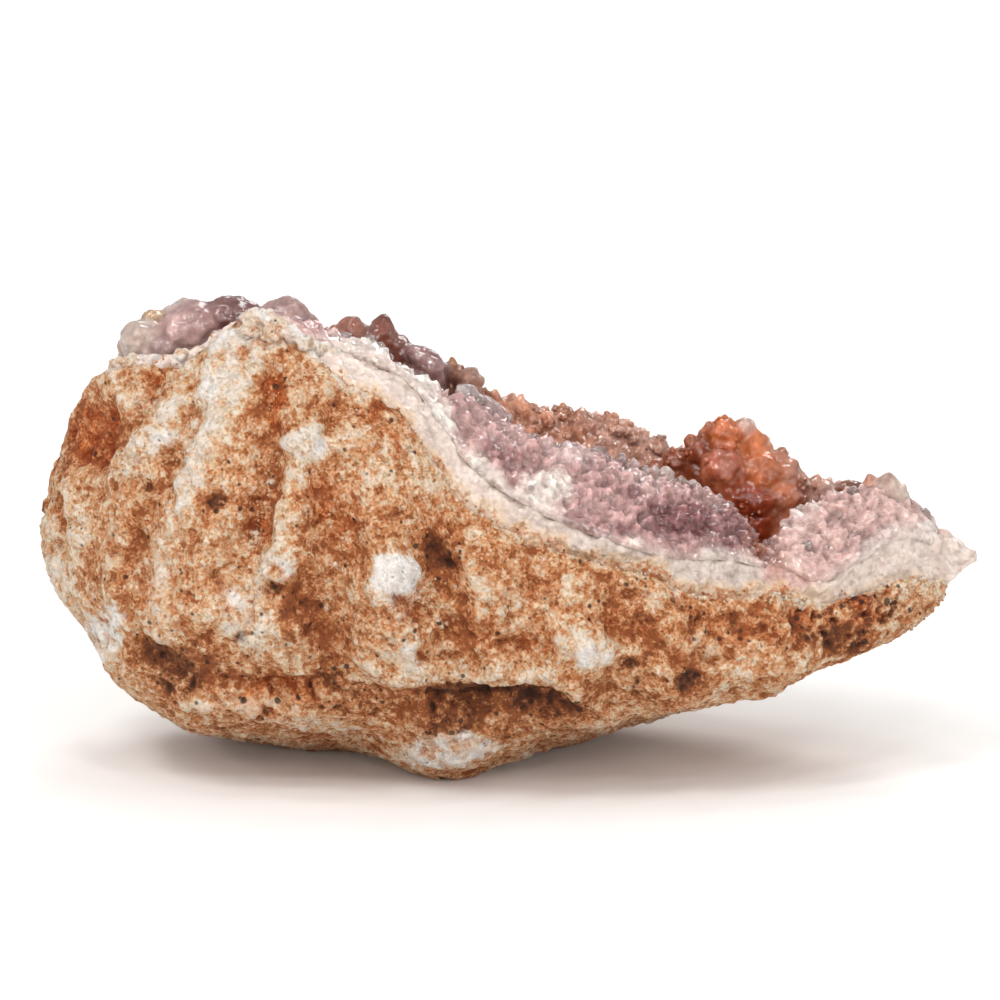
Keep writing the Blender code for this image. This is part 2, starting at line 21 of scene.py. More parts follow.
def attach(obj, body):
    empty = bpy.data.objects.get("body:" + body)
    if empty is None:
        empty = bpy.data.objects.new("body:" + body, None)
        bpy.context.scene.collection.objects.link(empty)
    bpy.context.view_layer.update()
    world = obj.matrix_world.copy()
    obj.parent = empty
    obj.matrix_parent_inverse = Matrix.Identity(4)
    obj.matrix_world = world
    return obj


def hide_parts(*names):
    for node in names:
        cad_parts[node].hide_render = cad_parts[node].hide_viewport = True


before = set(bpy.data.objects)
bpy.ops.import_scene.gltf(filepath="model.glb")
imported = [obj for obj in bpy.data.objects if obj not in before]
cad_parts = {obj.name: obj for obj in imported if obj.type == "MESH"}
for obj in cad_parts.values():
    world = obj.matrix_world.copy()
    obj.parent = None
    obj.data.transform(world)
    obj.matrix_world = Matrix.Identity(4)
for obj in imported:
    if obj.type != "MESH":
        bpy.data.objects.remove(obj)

MM = 0.001
QUARTZ_IOR = 1.544
SCATTER = (1.0, 0.9, 0.85)  # how far red, green and blue light spread in milky quartz, against each other
LIP_END = (5.0, 2.5)  # the lips at the layers' edges die out over this distance from the bare band, in mm
LOG = logging.getLogger("geode")

Rows = Sequence[tuple[float, ...]]


# ---------------------------------------------------------------- small helpers


def linear(hex_colour: str) -> np.ndarray:
    """Turns an sRGB hex value to linear light.

    Args:
        hex_colour: a colour such as "#C8A090".

    Returns:
        Red, green and blue from 0 to 1.
    """
    srgb = np.array([int(hex_colour[i : i + 2], 16) for i in (1, 3, 5)]) / 255
    return np.where(srgb <= 0.04045, srgb / 12.92, ((srgb + 0.055) / 1.055) ** 2.4)


def rgba(hex_colour: str) -> tuple[float, float, float, float]:
    """The same colour with full alpha, as a socket takes it."""
    return (*linear(hex_colour), 1.0)


def smooth_step(low: float, high: float, values: np.ndarray) -> np.ndarray:
    """Eases from 0 at low to 1 at high.

    Args:
        low: where the step starts.
        high: where it ends, which may be lower than low.
        values: the values to ease.

    Returns:
        Shares from 0 to 1.
    """
    t = np.clip((values - low) / (high - low), 0, 1)
    return t * t * (3 - 2 * t)


def fractal(points: np.ndarray, size: float, octaves: int = 3, shift: float = 0.0) -> np.ndarray:
    """Fractal noise at points.

    Args:
        points: (N, 3) in millimetres.
        size: the size of the largest lumps, in millimetres.
        octaves: how many finer layers are added.
        shift: moves the pattern, so that two uses differ.

    Returns:
        (N,) values, about -1 to 1.
    """
    at = points / size + shift
    return np.array([noise.fractal(Vector(p), 1.0, 2.0, octaves) for p in at])


def cells(points: np.ndarray, size: float, shift: float = 0.0) -> np.ndarray:
    """Rounded knobs packed side by side: 1 on the middle of a knob, about 0 in the grooves.

    Args:
        points: (N, 3) in millimetres.
        size: the distance between knobs, in millimetres.
        shift: moves the pattern.

    Returns:
        (N,) heights.
    """
    at = points / size + shift
    return np.array([1 - min(1.0, noise.voronoi(Vector(p))[0][0] * 1.4) ** 2 for p in at])


def add_node(tree: NodeTree, kind: str, inputs: dict | None = None, **settings: object) -> Node:
    """Adds a node with its settings and links.

    Args:
        tree: the material's node tree.
        kind: the shader node's type, such as "Math".
        inputs: socket name or number to a plain value, or to the output socket that feeds it.
        settings: the node's own properties.

    Returns:
        The node.
    """
    node = tree.nodes.new("ShaderNode" + kind)
    for name, value in settings.items():
        setattr(node, name, value)
    for name, value in (inputs or {}).items():
        if isinstance(value, NodeSocket):
            tree.links.new(value, node.inputs[name])
        else:
            node.inputs[name].default_value = value
    return node


def deselect() -> None:
    """Leaves object mode with nothing selected."""
    if bpy.context.object and bpy.context.object.mode != "OBJECT":
        bpy.ops.object.mode_set(mode="OBJECT")
    bpy.ops.object.select_all(action="DESELECT")


def work_on(obj: Object, mode: str = "OBJECT") -> None:
    """Selects one object alone and enters a mode on it.

    Args:
        obj: the object.
        mode: "OBJECT" or "EDIT".
    """
    deselect()
    obj.select_set(True)
    bpy.context.view_layer.objects.active = obj
    if mode != "OBJECT":
        bpy.ops.object.mode_set(mode=mode)


def apply_modifier(obj: Object, kind: str, **settings: object) -> None:
    """Adds a modifier, sets it and applies it.

    Args:
        obj: the piece.
        kind: the modifier's type.
        settings: the modifier's own properties.
    """
    work_on(obj)
    modifier = obj.modifiers.new(kind.title(), kind)
    for name, value in settings.items():
        setattr(modifier, name, value)
    bpy.ops.object.modifier_apply(modifier=modifier.name)


def read(data: bpy.types.bpy_prop_collection, name: str, width: int = 3) -> np.ndarray:
    """Reads a property of many elements at once.

    Args:
        data: the elements, such as a mesh's vertices.
        name: the property.
        width: how many numbers each element has.

    Returns:
        (N, width) values.
    """
    flat = np.empty(len(data) * width, np.float32 if name == "color" else float)
    data.foreach_get(name, flat)
    return flat.reshape(-1, width)


def points_of(mesh: Mesh) -> np.ndarray:
    """The mesh's vertices, (N, 3) in millimetres."""
    return read(mesh.vertices, "co") / MM


def normals_of(mesh: Mesh) -> np.ndarray:
    """The vertices' unit normals, (N, 3)."""
    return read(mesh.vertex_normals, "vector")


def move_to(mesh: Mesh, points: np.ndarray) -> None:
    """Puts the vertices at points, (N, 3) in millimetres."""
    mesh.vertices.foreach_set("co", (points * MM).ravel())
    mesh.update()


def store(mesh: Mesh, name: str, values: np.ndarray) -> None:
    """Keeps one value or one colour for each vertex.

    Args:
        mesh: the mesh.
        name: the attribute's name, as its material reads it.
        values: (N,) for a value, (N, 3) for a colour.
    """
    if values.ndim == 1:
        layer = mesh.attributes.new(name, "FLOAT", "POINT")
        layer.data.foreach_set("value", values.astype(np.float32))
    else:
        layer = mesh.attributes.new(name, "FLOAT_COLOR", "POINT")
        colours = np.column_stack([values, np.ones(len(values))])
        layer.data.foreach_set("color", colours.astype(np.float32).ravel())


def hand_over(obj: Object, material: Material, slot: str, *nodes: str) -> None:
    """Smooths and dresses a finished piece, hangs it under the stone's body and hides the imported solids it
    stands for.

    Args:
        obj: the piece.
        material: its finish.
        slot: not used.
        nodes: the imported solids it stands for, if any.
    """
    work_on(obj)
    bpy.ops.object.shade_smooth()
    obj.data.materials.clear()
    obj.data.materials.append(material)
    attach(obj, "root")
    if nodes:
        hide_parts(*nodes)
    LOG.info("%s: %d faces", obj.name, len(obj.data.polygons))


# ---------------------------------------------------------------- the way the stone is seen


@dataclass(frozen=True)
class FrontView:
    """The stone's front, seen from a little above.

    Places on the front are given as (across, up) in millimetres on the upright plane through the
    stone's middle that faces the eye.
    """

    aim: tuple[float, float, float] = (-1.93, -2.0, 54.2)
    distance: float = 1200.0
    elevation: float = math.radians(12)
    lens: float = 212.5

    @property
    def back(self) -> np.ndarray:
        """The unit way from the stone to the eye."""
        return np.array([0, -math.cos(self.elevation), math.sin(self.elevation)])

    @property
    def up(self) -> np.ndarray:
        """The unit way up in the view."""
        return np.array([0, math.sin(self.elevation), math.cos(self.elevation)])

    @property
    def eye(self) -> np.ndarray:
        """Where the eye is."""
        return np.array(self.aim) + self.back * self.distance

    def camera(self) -> None:
        """Makes the scene's camera."""
        data = bpy.data.cameras.new("front_camera")
        data.lens, data.sensor_width = self.lens, 36.0
        data.clip_start, data.clip_end = 0.05, 20.0
        obj = bpy.data.objects.new("front_camera", data)
        bpy.context.scene.collection.objects.link(obj)
        obj.location = self.eye * MM
        obj.rotation_euler = (math.pi / 2 - self.elevation, 0, 0)
        bpy.context.scene.camera = obj

    def seen(self, points: np.ndarray) -> np.ndarray:
        """Where points show on the front.

        Args:
            points: (N, 3) in millimetres.

        Returns:
            (N, 2): across and up.
        """
        away = points - np.array(self.aim)
        scale = self.distance / (self.distance - away @ self.back)
        return np.column_stack([away[:, 0], away @ self.up]) * scale[:, None]

    def place(self, across: float, up: float, y: float) -> np.ndarray:
        """The point that shows at (across, up) and is y deep.

        Args:
            across: to the right of the middle.
            up: above the middle.
            y: the point's own y.

        Returns:
            Its (x, y, z).
        """
        way = self.toward(across, up)
        return self.eye + way * ((y - self.eye[1]) / way[1])

    def toward(self, across: float, up: float) -> np.ndarray:
        """The way from the eye through (across, up), not a unit length."""
        return np.array([across, 0, 0]) + self.up * up - self.back * self.distance


VIEW = FrontView()


@dataclass(frozen=True)
class Patches:
    """Soft ovals on the front: rows of (across, up, half width, half height, turn in degrees, strength)."""

    rows: Rows
    wander: float = 1.6  # how far noise pulls their edges about
    power: float = 2.0  # 2 for ovals, more for squarer ones
    edge: tuple[float, float] = (1.25, 0.55)  # where the edge fades out and where it is full

    def weight(self, points: np.ndarray, normals: np.ndarray) -> np.ndarray:
        """How strongly the patches lie on each point.

        Args:
            points: (N, 3) in millimetres.
            normals: (N, 3), because only what faces the front takes them.

        Returns:
            (N,) from 0 to 1.
        """
        pull = np.column_stack([fractal(points, 4.5, 3, 3.7), fractal(points, 4.5, 3, 9.1)])
        seen = VIEW.seen(points) + pull * self.wander
        total = np.zeros(len(points))
        for across, up, half_width, half_height, turn, strength in self.rows:
            away = seen - (across, up)
            c, s = math.cos(math.radians(turn)), math.sin(math.radians(turn))
            along = np.abs((away[:, 0] * c + away[:, 1] * s) / half_width)
            over = np.abs((away[:, 1] * c - away[:, 0] * s) / half_height)
            reach = (along**self.power + over**self.power) ** (1 / self.power)
            total = np.maximum(total, strength * smooth_step(*self.edge, reach))
        return total * smooth_step(-0.15, 0.25, normals @ VIEW.back)


@dataclass(frozen=True)
class Folds:
    """Soft ridges and valleys on the front, as (height, half width, points along the middle)."""

    rows: Sequence[tuple[float, float, Rows]]
    wander: float = 1.3  # how far noise pulls them about

    def height(self, points: np.ndarray, normals: np.ndarray) -> np.ndarray:
        """How far the folds lift each point.

        Args:
            points: (N, 3) in millimetres.
            normals: (N, 3), because only what faces the front takes them.

        Returns:
            (N,) heights in millimetres, below 0 in the valleys.
        """
        pull = np.column_stack([fractal(points, 6.0, 3, 13.7), fractal(points, 6.0, 3, 19.1)])
        seen = VIEW.seen(points) + pull * self.wander
        total = np.zeros(len(points))
        for height, half_width, line in self.rows:
            ends = np.array(line)
            away = np.full(len(points), np.inf)
            for start, stop in zip(ends, ends[1:]):
                step = stop - start
                along = np.clip((seen - start) @ step / (step @ step), 0, 1)
                away = np.minimum(away, np.linalg.norm(seen - start - along[:, None] * step, axis=1))
            total += height * np.exp(-((away / half_width) ** 2))
        return total * smooth_step(-0.1, 0.35, normals @ VIEW.back)


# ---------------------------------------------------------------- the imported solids


class Solid(Enum):
    """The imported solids."""

    RIND = "matrix_rind"
    BAND = "quartz_band"
    CRUST = "amethyst_druse"
    LEFT = "left_amethyst_points"
    SMOKY = "smoky_points"
    STAINED = "iron_stained_points"


LAYERS = (Solid.RIND, Solid.BAND, Solid.CRUST)


class Stone:
    """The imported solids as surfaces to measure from."""

    touching: float = 0.35  # solids nearer than this lie on one another, in millimetres

    def __init__(self) -> None:
        """Reads the solids' triangles."""
        self.trees = {solid: self.tree(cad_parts[solid.value].data) for solid in Solid}
        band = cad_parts[Solid.BAND.value].data
        spots = np.vstack([points_of(band), read(band.polygons, "center") / MM])
        cover = np.minimum(self.distance(Solid.RIND, spots), self.distance(Solid.CRUST, spots))
        covered = cover < self.touching
        self.seam = KDTree(int((~covered).sum()))
        for index, spot in enumerate(spots[~covered]):
            self.seam.insert(spot, index)
        self.seam.balance()

    @staticmethod
    def tree(mesh: Mesh) -> BVHTree:
        """A search tree of a mesh, in millimetres."""
        return BVHTree.FromPolygons(points_of(mesh).tolist(), [tuple(p.vertices) for p in mesh.polygons])

    def distance(self, solid: Solid, points: np.ndarray) -> np.ndarray:
        """How far each point is from a solid's surface."""
        find = self.trees[solid].find_nearest
        return np.array([find(Vector(p))[3] for p in points])

    def from_seam(self, points: np.ndarray) -> np.ndarray:
        """How far each point is from where the band lies bare."""
        return np.array([self.seam.find(p)[2] for p in points])

    def drop(self, point: np.ndarray) -> float:
        """How far below a point the stone lies.

        Args:
            point: (x, y, z) in millimetres.

        Returns:
            The distance, or 0 for a point inside the stone.
        """
        hits = [self.trees[solid].ray_cast(Vector(point), Vector((0, 0, -1))) for solid in LAYERS]
        hits = [hit for hit in hits if hit[0] is not None]
        if not hits:
            return 0.0
        nearest = min(hits, key=lambda hit: hit[3])
        return nearest[3] if nearest[1].z > 0 else 0.0

    def facing(self, across: float, up: float, *solids: Solid) -> tuple[np.ndarray, np.ndarray] | None:
        """The surface that shows at a place on the front.

        Args:
            across: to the right of the middle.
            up: above the middle.
            solids: the solids that may be met.

        Returns:
            The nearest point and its normal, or None.
        """
        way = Vector(VIEW.toward(across, up)).normalized()
        met = [self.trees[solid].ray_cast(Vector(VIEW.eye), way) for solid in solids]
        met = [hit for hit in met if hit[0] is not None]
        if not met:
            return None
        point, normal = min(met, key=lambda hit: hit[3])[:2]
        return np.array(point), np.array(normal)


def refined(solid: Solid, name: str) -> Object:
    """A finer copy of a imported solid, with its corners rounded.

    Args:
        solid: the solid.
        name: the new piece's name.

    Returns:
        The new object, with about 2.5 mm between its vertices.
    """
    obj = bpy.data.objects.new(name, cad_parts[solid.value].data.copy())
    bpy.context.scene.collection.objects.link(obj)
    work_on(obj, "EDIT")
    bpy.ops.mesh.select_all(action="SELECT")
    bpy.ops.mesh.remove_doubles(threshold=0.02 * MM)
    bpy.ops.mesh.tris_convert_to_quads(face_threshold=math.radians(70), shape_threshold=math.radians(70))
    deselect()
    apply_modifier(obj, "SUBSURF", levels=1, render_levels=1)
    return obj


def subdivide_where(obj: Object, wanted: np.ndarray, cuts: int, smoothing: int) -> None:
    """Divides the faces round the wanted vertices and rounds them.

    Args:
        obj: the piece.
        wanted: (N,) true for each vertex whose faces are divided.
        cuts: cuts across each face.
        smoothing: how many times the new vertices are eased.
    """
    mesh = obj.data
    work_on(obj, "EDIT")
    bpy.ops.mesh.select_mode(type="FACE")
    bpy.ops.mesh.select_all(action="DESELECT")
    bpy.ops.object.mode_set(mode="OBJECT")
    chosen = [all(wanted[v] for v in polygon.vertices) for polygon in mesh.polygons]
    mesh.polygons.foreach_set("select", chosen)
    bpy.ops.object.mode_set(mode="EDIT")
    bpy.ops.mesh.subdivide(number_cuts=cuts, ngon=True)
    bpy.ops.mesh.vertices_smooth(factor=0.5, repeat=smoothing)
    deselect()


def turned(ways: np.ndarray, spins: np.ndarray) -> np.ndarray:
    """Rotations that stand +Z along each way, spun about it.

    Args:
        ways: (N, 3) unit vectors.
        spins: (N,) angles.

    Returns:
        (N, 3, 3) matrices.
    """
    helper = np.where(np.abs(ways[:, :1]) < 0.8, [[1.0, 0, 0]], [[0, 1.0, 0]])
    side = np.cross(helper, ways)
    side /= np.linalg.norm(side, axis=1)[:, None]
    other = np.cross(ways, side)
    c, s = np.cos(spins)[:, None], np.sin(spins)[:, None]
    return np.stack([side * c + other * s, other * c - side * s, ways], axis=2)


# ---------------------------------------------------------------- finishes


def new_material(name: str, inputs: dict) -> tuple[Material, NodeTree, Node, Node]:
    """A Principled material.

    Args:
        name: what the material is and how its surface was made.
        inputs: the shader's socket names and their plain values.

    Returns:
        The material, its tree, its shader and its output.
    """
    material = bpy.data.materials.new(name)
    material.use_nodes = True
    tree = material.node_tree
    tree.nodes.clear()
    shader = add_node(tree, "BsdfPrincipled", inputs)
    output = add_node(tree, "OutputMaterial", {"Surface": shader.outputs[0]})
    return material, tree, shader, output


def paint(ramp: Node, stops: Sequence[tuple[float, str]]) -> None:
    """Sets a colour ramp's colours.

    Args:
        ramp: the ramp's node.
        stops: each place from 0 to 1 and its colour.
    """
    elements = ramp.color_ramp.elements
    for element, (at, colour) in zip(elements, (stops[0], stops[-1])):
        element.position, element.color = at, rgba(colour)
    for at, colour in stops[1:-1]:
        elements.new(at).color = rgba(colour)


def facets(tree: NodeTree, place: NodeSocket, size: float, slope: float) -> NodeSocket:
    """A bump that breaks a surface into small flat faces, each tilted its own way, so that some catch a lamp.

    Args:
        tree: the material's node tree.
        place: the position.
        size: the size of the faces, in millimetres.
        slope: how far they tilt.

    Returns:
        The normal's socket.
    """
    cell = add_node(tree, "TexVoronoi", {"Vector": place, "Scale": 1 / (size * MM)})
    way = add_node(tree, "VectorMath", {0: cell.outputs["Color"], 1: (0.5, 0.5, 0.5)}, operation="SUBTRACT")
    offset = add_node(tree, "VectorMath", {0: place, 1: cell.outputs["Position"]}, operation="SUBTRACT")
    height = add_node(tree, "VectorMath", {0: way.outputs[0], 1: offset.outputs[0]}, operation="DOT_PRODUCT")
    steep = add_node(tree, "Math", {0: height.outputs["Value"], 1: 2 * slope}, operation="MULTIPLY")
    bump = add_node(tree, "Bump", {"Height": steep.outputs[0], "Strength": 1.0, "Distance": 1.0})
    return bump.outputs[0]


@dataclass(frozen=True)
class WeatheredRock:
    """Altered volcanic rock, weathered: chalky high points, iron rust between them, soot-black pits, with
    painted shade in its low places and painted light on its high ones.

    The eye sees a dry, crumbly surface with no gloss, mottled from cream to rust within a millimetre.
    """

    chalk: str = "#F0DECB"
    cream: str = "#E8C9A6"
    peach: str = "#DCA67B"
    orange: str = "#C6804F"
    rust: str = "#9C5730"
    # laid where the soot share is high, which also holds painted shade and painted shadow
    soot: str = "#32211A"
    iron: str = "#F8B264"
    bloom: str = "#FBF4EE"
    stops: tuple[float, ...] = (0.0, 0.26, 0.5, 0.74, 1.0)  # where rust, orange, peach, cream and chalk stand
    patch_size: float = 12.0
    mottle_size: float = 4.2
    grain_size: float = 1.5
    crumb_size: float = 0.6
    speck_size: float = 2.3
    hole_size: float = 2.3
    grain_sizes: tuple[float, float] = (0.5, 1.1)
    facet_size: float = 0.75
    facet_slope: float = 0.75
    bump_height: float = 1.3
    soot_cover: float = 0.85
    roughness: float = 0.88
    ior: float = 1.5
    specular: float = 0.3

    def material(self) -> Material:
        """Builds the node material.

        Returns:
            The material. It reads the attributes weather and relief.
        """
        material, tree, shader, _ = new_material(
            "weathered_volcanic_rock",
            {"Roughness": self.roughness, "IOR": self.ior, "Specular IOR Level": self.specular},
        )
        place = add_node(tree, "TexCoord").outputs["Object"]
        patches, mottle, grain, crumbs = (
            add_node(
                tree, "TexNoise",
                {"Vector": place, "Scale": 1 / (size * MM), "Detail": detail, "Roughness": roughness},
            ).outputs["Fac"]
            for size, detail, roughness in (
                (self.patch_size, 5, 0.55), (self.mottle_size, 6, 0.6), (self.grain_size, 6, 0.7),
                (self.crumb_size, 4, 0.7),
            )
        )
        weather = add_node(tree, "Attribute", attribute_name="weather")
        share = add_node(tree, "SeparateColor", {"Color": weather.outputs["Color"]})
        chalky, rusty, soot_and_shade = (share.outputs[name] for name in ("Red", "Green", "Blue"))
        relief = add_node(tree, "Attribute", attribute_name="relief").outputs["Fac"]
        grains, edges = [], []
        for size in (*self.grain_sizes, self.speck_size, self.hole_size):
            cell = add_node(tree, "TexVoronoi", {"Vector": place, "Scale": 1 / (size * MM)})
            grains.append(add_node(tree, "SeparateColor", {"Color": cell.outputs["Color"]}))
            edges.append(cell.outputs["Distance"])
        fine, coarse = (node.outputs["Green"] for node in grains[:2])
        odd, lone = (node.outputs["Red"] for node in grains[2:])
        sums = []
        for total, parts in (  # a start, and values with their weights
            # the colour's level, from rust to chalk; its relief term is painted shade in low places and
            # painted light on high ones
            (-1.395, ((relief, 0.5), (chalky, 0.46), (rusty, -0.02), (soot_and_shade, -0.4), (mottle, 0.95),
                      (grain, 0.75), (crumbs, 0.4), (patches, 0.8), (fine, 0.44), (coarse, 0.44))),
            # specks, lone holes, and soot-dark ground that also holds painted shade from the soot share and
            # from low relief
            (-0.8, ((edges[2], -8.0), (odd, 2.4), (grain, 1.0), (soot_and_shade, 1.4), (rusty, 0.8), (chalky, -0.5))),
            (-2.35, ((edges[3], -9.0), (lone, 2.5), (soot_and_shade, 4.4), (crumbs, 0.8))),
            (1.1, ((soot_and_shade, 1.8), (grain, -2.0), (mottle, -1.4), (relief, -0.6), (crumbs, -0.8),
                   (coarse, -0.3))),
            # the bump's height
            (0.0, ((mottle, 0.5), (grain, 0.8), (crumbs, 0.35))),
        ):
            for value, weight in parts:
                node = add_node(tree, "Math", {0: value, 1: weight, 2: total}, operation="MULTIPLY_ADD")
                total = node.outputs[0]
            sums.append(total)
        level, speck, hole, sooty_and_shaded_ground, height = sums
        ramp = add_node(tree, "ValToRGB", {"Fac": level})
        paint(ramp, tuple(zip(self.stops, (self.rust, self.orange, self.peach, self.cream, self.chalk))))
        colour = ramp.outputs["Color"]
        for amount, power, factor, tone, blend in (
            (rusty, 2.0, 0.7, self.iron, "MULTIPLY"), (chalky, 4.0, 0.9, self.bloom, "MIX"),
        ):
            strong = add_node(tree, "Math", {0: amount, 1: power}, operation="POWER")
            strong = add_node(tree, "Math", {0: strong.outputs[0], 1: factor}, operation="MULTIPLY")
            colour = add_node(
                tree, "Mix", {"Factor": strong.outputs[0], 6: colour, 7: rgba(tone)},
                data_type="RGBA", blend_type=blend,
            ).outputs[2]
        black = speck
        for other in (sooty_and_shaded_ground, hole):
            black = add_node(tree, "Math", {0: black, 1: other}, operation="MAXIMUM").outputs[0]
        black = add_node(tree, "Clamp", {"Value": black})
        black = add_node(tree, "Math", {0: black.outputs[0], 1: self.soot_cover}, operation="MULTIPLY")
        colour = add_node(
            tree, "Mix", {"Factor": black.outputs[0], 6: colour, 7: rgba(self.soot)}, data_type="RGBA"
        )
        tree.links.new(colour.outputs[2], shader.inputs["Base Color"])
        rough = facets(tree, place, self.facet_size, self.facet_slope)
        bump = add_node(
            tree, "Bump",
            {"Height": height, "Strength": 1.0, "Distance": self.bump_height * MM, "Normal": rough},
        )
        tree.links.new(bump.outputs[0], shader.inputs["Normal"])
        return material


@dataclass(frozen=True)
class MilkyQuartz:
    """Quartz full of fine bubbles, broken across: the eye sees a soft, sugary white that light sinks into."""

    white: str = "#EADACF"
    grey: str = "#CDB8AC"
    iron: str = "#DFC193"
    rust: str = "#A9683C"
    grain_size: float = 0.9
    cloud_size: float = 3.5
    facet_size: float = 0.9
    facet_slope: float = 0.42
    roughness: float = 0.3
    milk: float = 0.6
    milk_depth: float = 1.0

    def material(self) -> Material:
        """Builds the node material.

        Returns:
            The material. It reads the attributes tint and stain.
        """
        material, tree, shader, _ = new_material(
            "milky_quartz_broken",
            {"Roughness": self.roughness, "IOR": QUARTZ_IOR, "Subsurface Weight": self.milk,
             "Subsurface Radius": SCATTER, "Subsurface Scale": self.milk_depth * MM},
        )
        place = add_node(tree, "TexCoord").outputs["Object"]
        clouds, grain = (
            add_node(
                tree, "TexNoise",
                {"Vector": place, "Scale": 1 / (size * MM), "Detail": detail, "Roughness": 0.6},
            ).outputs["Fac"]
            for size, detail in ((self.cloud_size, 5), (self.grain_size, 4))
        )
        stain = add_node(tree, "Attribute", attribute_name="stain").outputs["Fac"]
        sums = []
        for total, parts in (  # from grey to white, then how far iron and rust cover it
            (-1.1, ((clouds, 2.0), (grain, 1.2))),
            (-1.35, ((stain, 0.9), (grain, 1.3), (clouds, 0.9))),
            (-4.55, ((stain, 2.2), (grain, 3.4), (clouds, 2.4))),
        ):
            for value, weight in parts:
                node = add_node(tree, "Math", {0: value, 1: weight, 2: total}, operation="MULTIPLY_ADD")
                total = node.outputs[0]
            sums.append(total)
        pale = add_node(tree, "ValToRGB", {"Fac": sums[0]})
        paint(pale, ((0.1, self.grey), (0.85, self.white)))
        tint = add_node(tree, "Attribute", attribute_name="tint").outputs["Color"]
        colour = add_node(
            tree, "Mix", {"Factor": 1.0, 6: pale.outputs["Color"], 7: tint},
            data_type="RGBA", blend_type="MULTIPLY",
        )
        for amount, tone in zip(sums[1:], (self.iron, self.rust)):
            amount = add_node(tree, "Clamp", {"Value": amount}).outputs[0]
            colour = add_node(
                tree, "Mix", {"Factor": amount, 6: colour.outputs[2], 7: rgba(tone)}, data_type="RGBA"
            )
        tree.links.new(colour.outputs[2], shader.inputs["Base Color"])
        tree.links.new(facets(tree, place, self.facet_size, self.facet_slope), shader.inputs["Normal"])
        return material


@dataclass(frozen=True)
class Crystal:
    """Quartz as it grew, glassy and tinted: the eye sees clear tips over cloudy feet, and small hard glints.

    Attributes:
        name: the material's name.
        clear: the share of light that goes through.
        roughness: how much its faces blur a glint.
        milk: the share of light that sinks in and is scattered.
        cloud_size: the size of the clouds inside, in millimetres.
        facet_size: the size of the small faces that it ends in, in millimetres.
        facet_slope: how far they tilt.
        absorbed: the colour that thick crystal takes on.
        density: how fast it takes it on, per metre.
    """

    name: str
    clear: float
    roughness: float
    milk: float
    cloud_size: float
    facet_size: float
    facet_slope: float
    absorbed: str = "#FFFFFF"
    density: float = 0.0
    veil: tuple[str, str] = ("#A89E9E", "#FFFFFF")
    veil_share: float = 0.8
    specular: float = 0.65
    milk_depth: float = 0.9

    def material(self) -> Material:
        """Builds the node material.

        Returns:
            The material. It reads the attribute tint.
        """
        material, tree, shader, output = new_material(
            self.name,
            {"Roughness": self.roughness, "IOR": QUARTZ_IOR, "Specular IOR Level": self.specular,
             "Transmission Weight": self.clear, "Subsurface Weight": self.milk,
             "Subsurface Radius": SCATTER, "Subsurface Scale": self.milk_depth * MM},
        )
        place = add_node(tree, "TexCoord").outputs["Object"]
        clouds = add_node(
            tree, "TexNoise",
            {"Vector": place, "Scale": 1 / (self.cloud_size * MM), "Detail": 4, "Roughness": 0.6},
        )
        veil = add_node(tree, "ValToRGB", {"Fac": clouds.outputs["Fac"]})
        paint(veil, tuple(zip((0.3, 0.7), self.veil)))
        tint = add_node(tree, "Attribute", attribute_name="tint").outputs["Color"]
        colour = add_node(
            tree, "Mix", {"Factor": self.veil_share, 6: tint, 7: veil.outputs["Color"]},
            data_type="RGBA", blend_type="MULTIPLY",
        )
        tree.links.new(colour.outputs[2], shader.inputs["Base Color"])
        tree.links.new(facets(tree, place, self.facet_size, self.facet_slope), shader.inputs["Normal"])
        if self.density:
            inside = add_node(
                tree, "VolumeAbsorption", {"Color": rgba(self.absorbed), "Density": self.density}
            )
            tree.links.new(inside.outputs[0], output.inputs["Volume"])
        return material


# Amethyst points grown into one crust: milky inside, hard small glints on every face.
GROWN_TOGETHER = Crystal("amethyst_crystals_grown_together", 0.15, 0.05, 0.85, 2.2, 0.9, 0.55)
# Pale amethyst, rounded as it grew: cloudy, with broad soft glints.
PALE_AMETHYST = Crystal("pale_amethyst_rounded", 0.3, 0.14, 0.7, 3.5, 1.8, 0.14)
# Smoky amethyst, rounded as it grew: darker and a little clearer, with wet-looking glints.
SMOKY_AMETHYST = Crystal("smoky_amethyst_rounded", 0.35, 0.1, 0.6, 4.0, 2.4, 0.3)
# Clear amethyst, rounded as it grew: see-through, with a trace of rose where it is thick.
CLEAR_AMETHYST = Crystal("clear_amethyst_rounded", 0.5, 0.05, 0.8, 3.0, 1.2, 0.3, "#FAF2F0", 6.0)
# Quartz over iron stain, rounded as it grew: it glows orange, as wet sugar does.
STAINED_QUARTZ = Crystal("iron_stained_quartz_rounded", 0.3, 0.08, 0.8, 3.0, 1.3, 0.22)
# Single clear points as they grew: like small glass, bright on one face and empty on the next.
CLEAR_POINTS = Crystal("clear_quartz_points_as_grown", 0.7, 0.03, 0.0, 2.6, 1.1, 0.6, "#FAF2F0", 6.0)
# Single stained points as they grew: the same, but full of rust.
STAINED_POINTS = Crystal("iron_stained_quartz_as_grown", 0.3, 0.06, 0.0, 2.6, 0.9, 0.7)


# ---------------------------------------------------------------- tints of the crystals


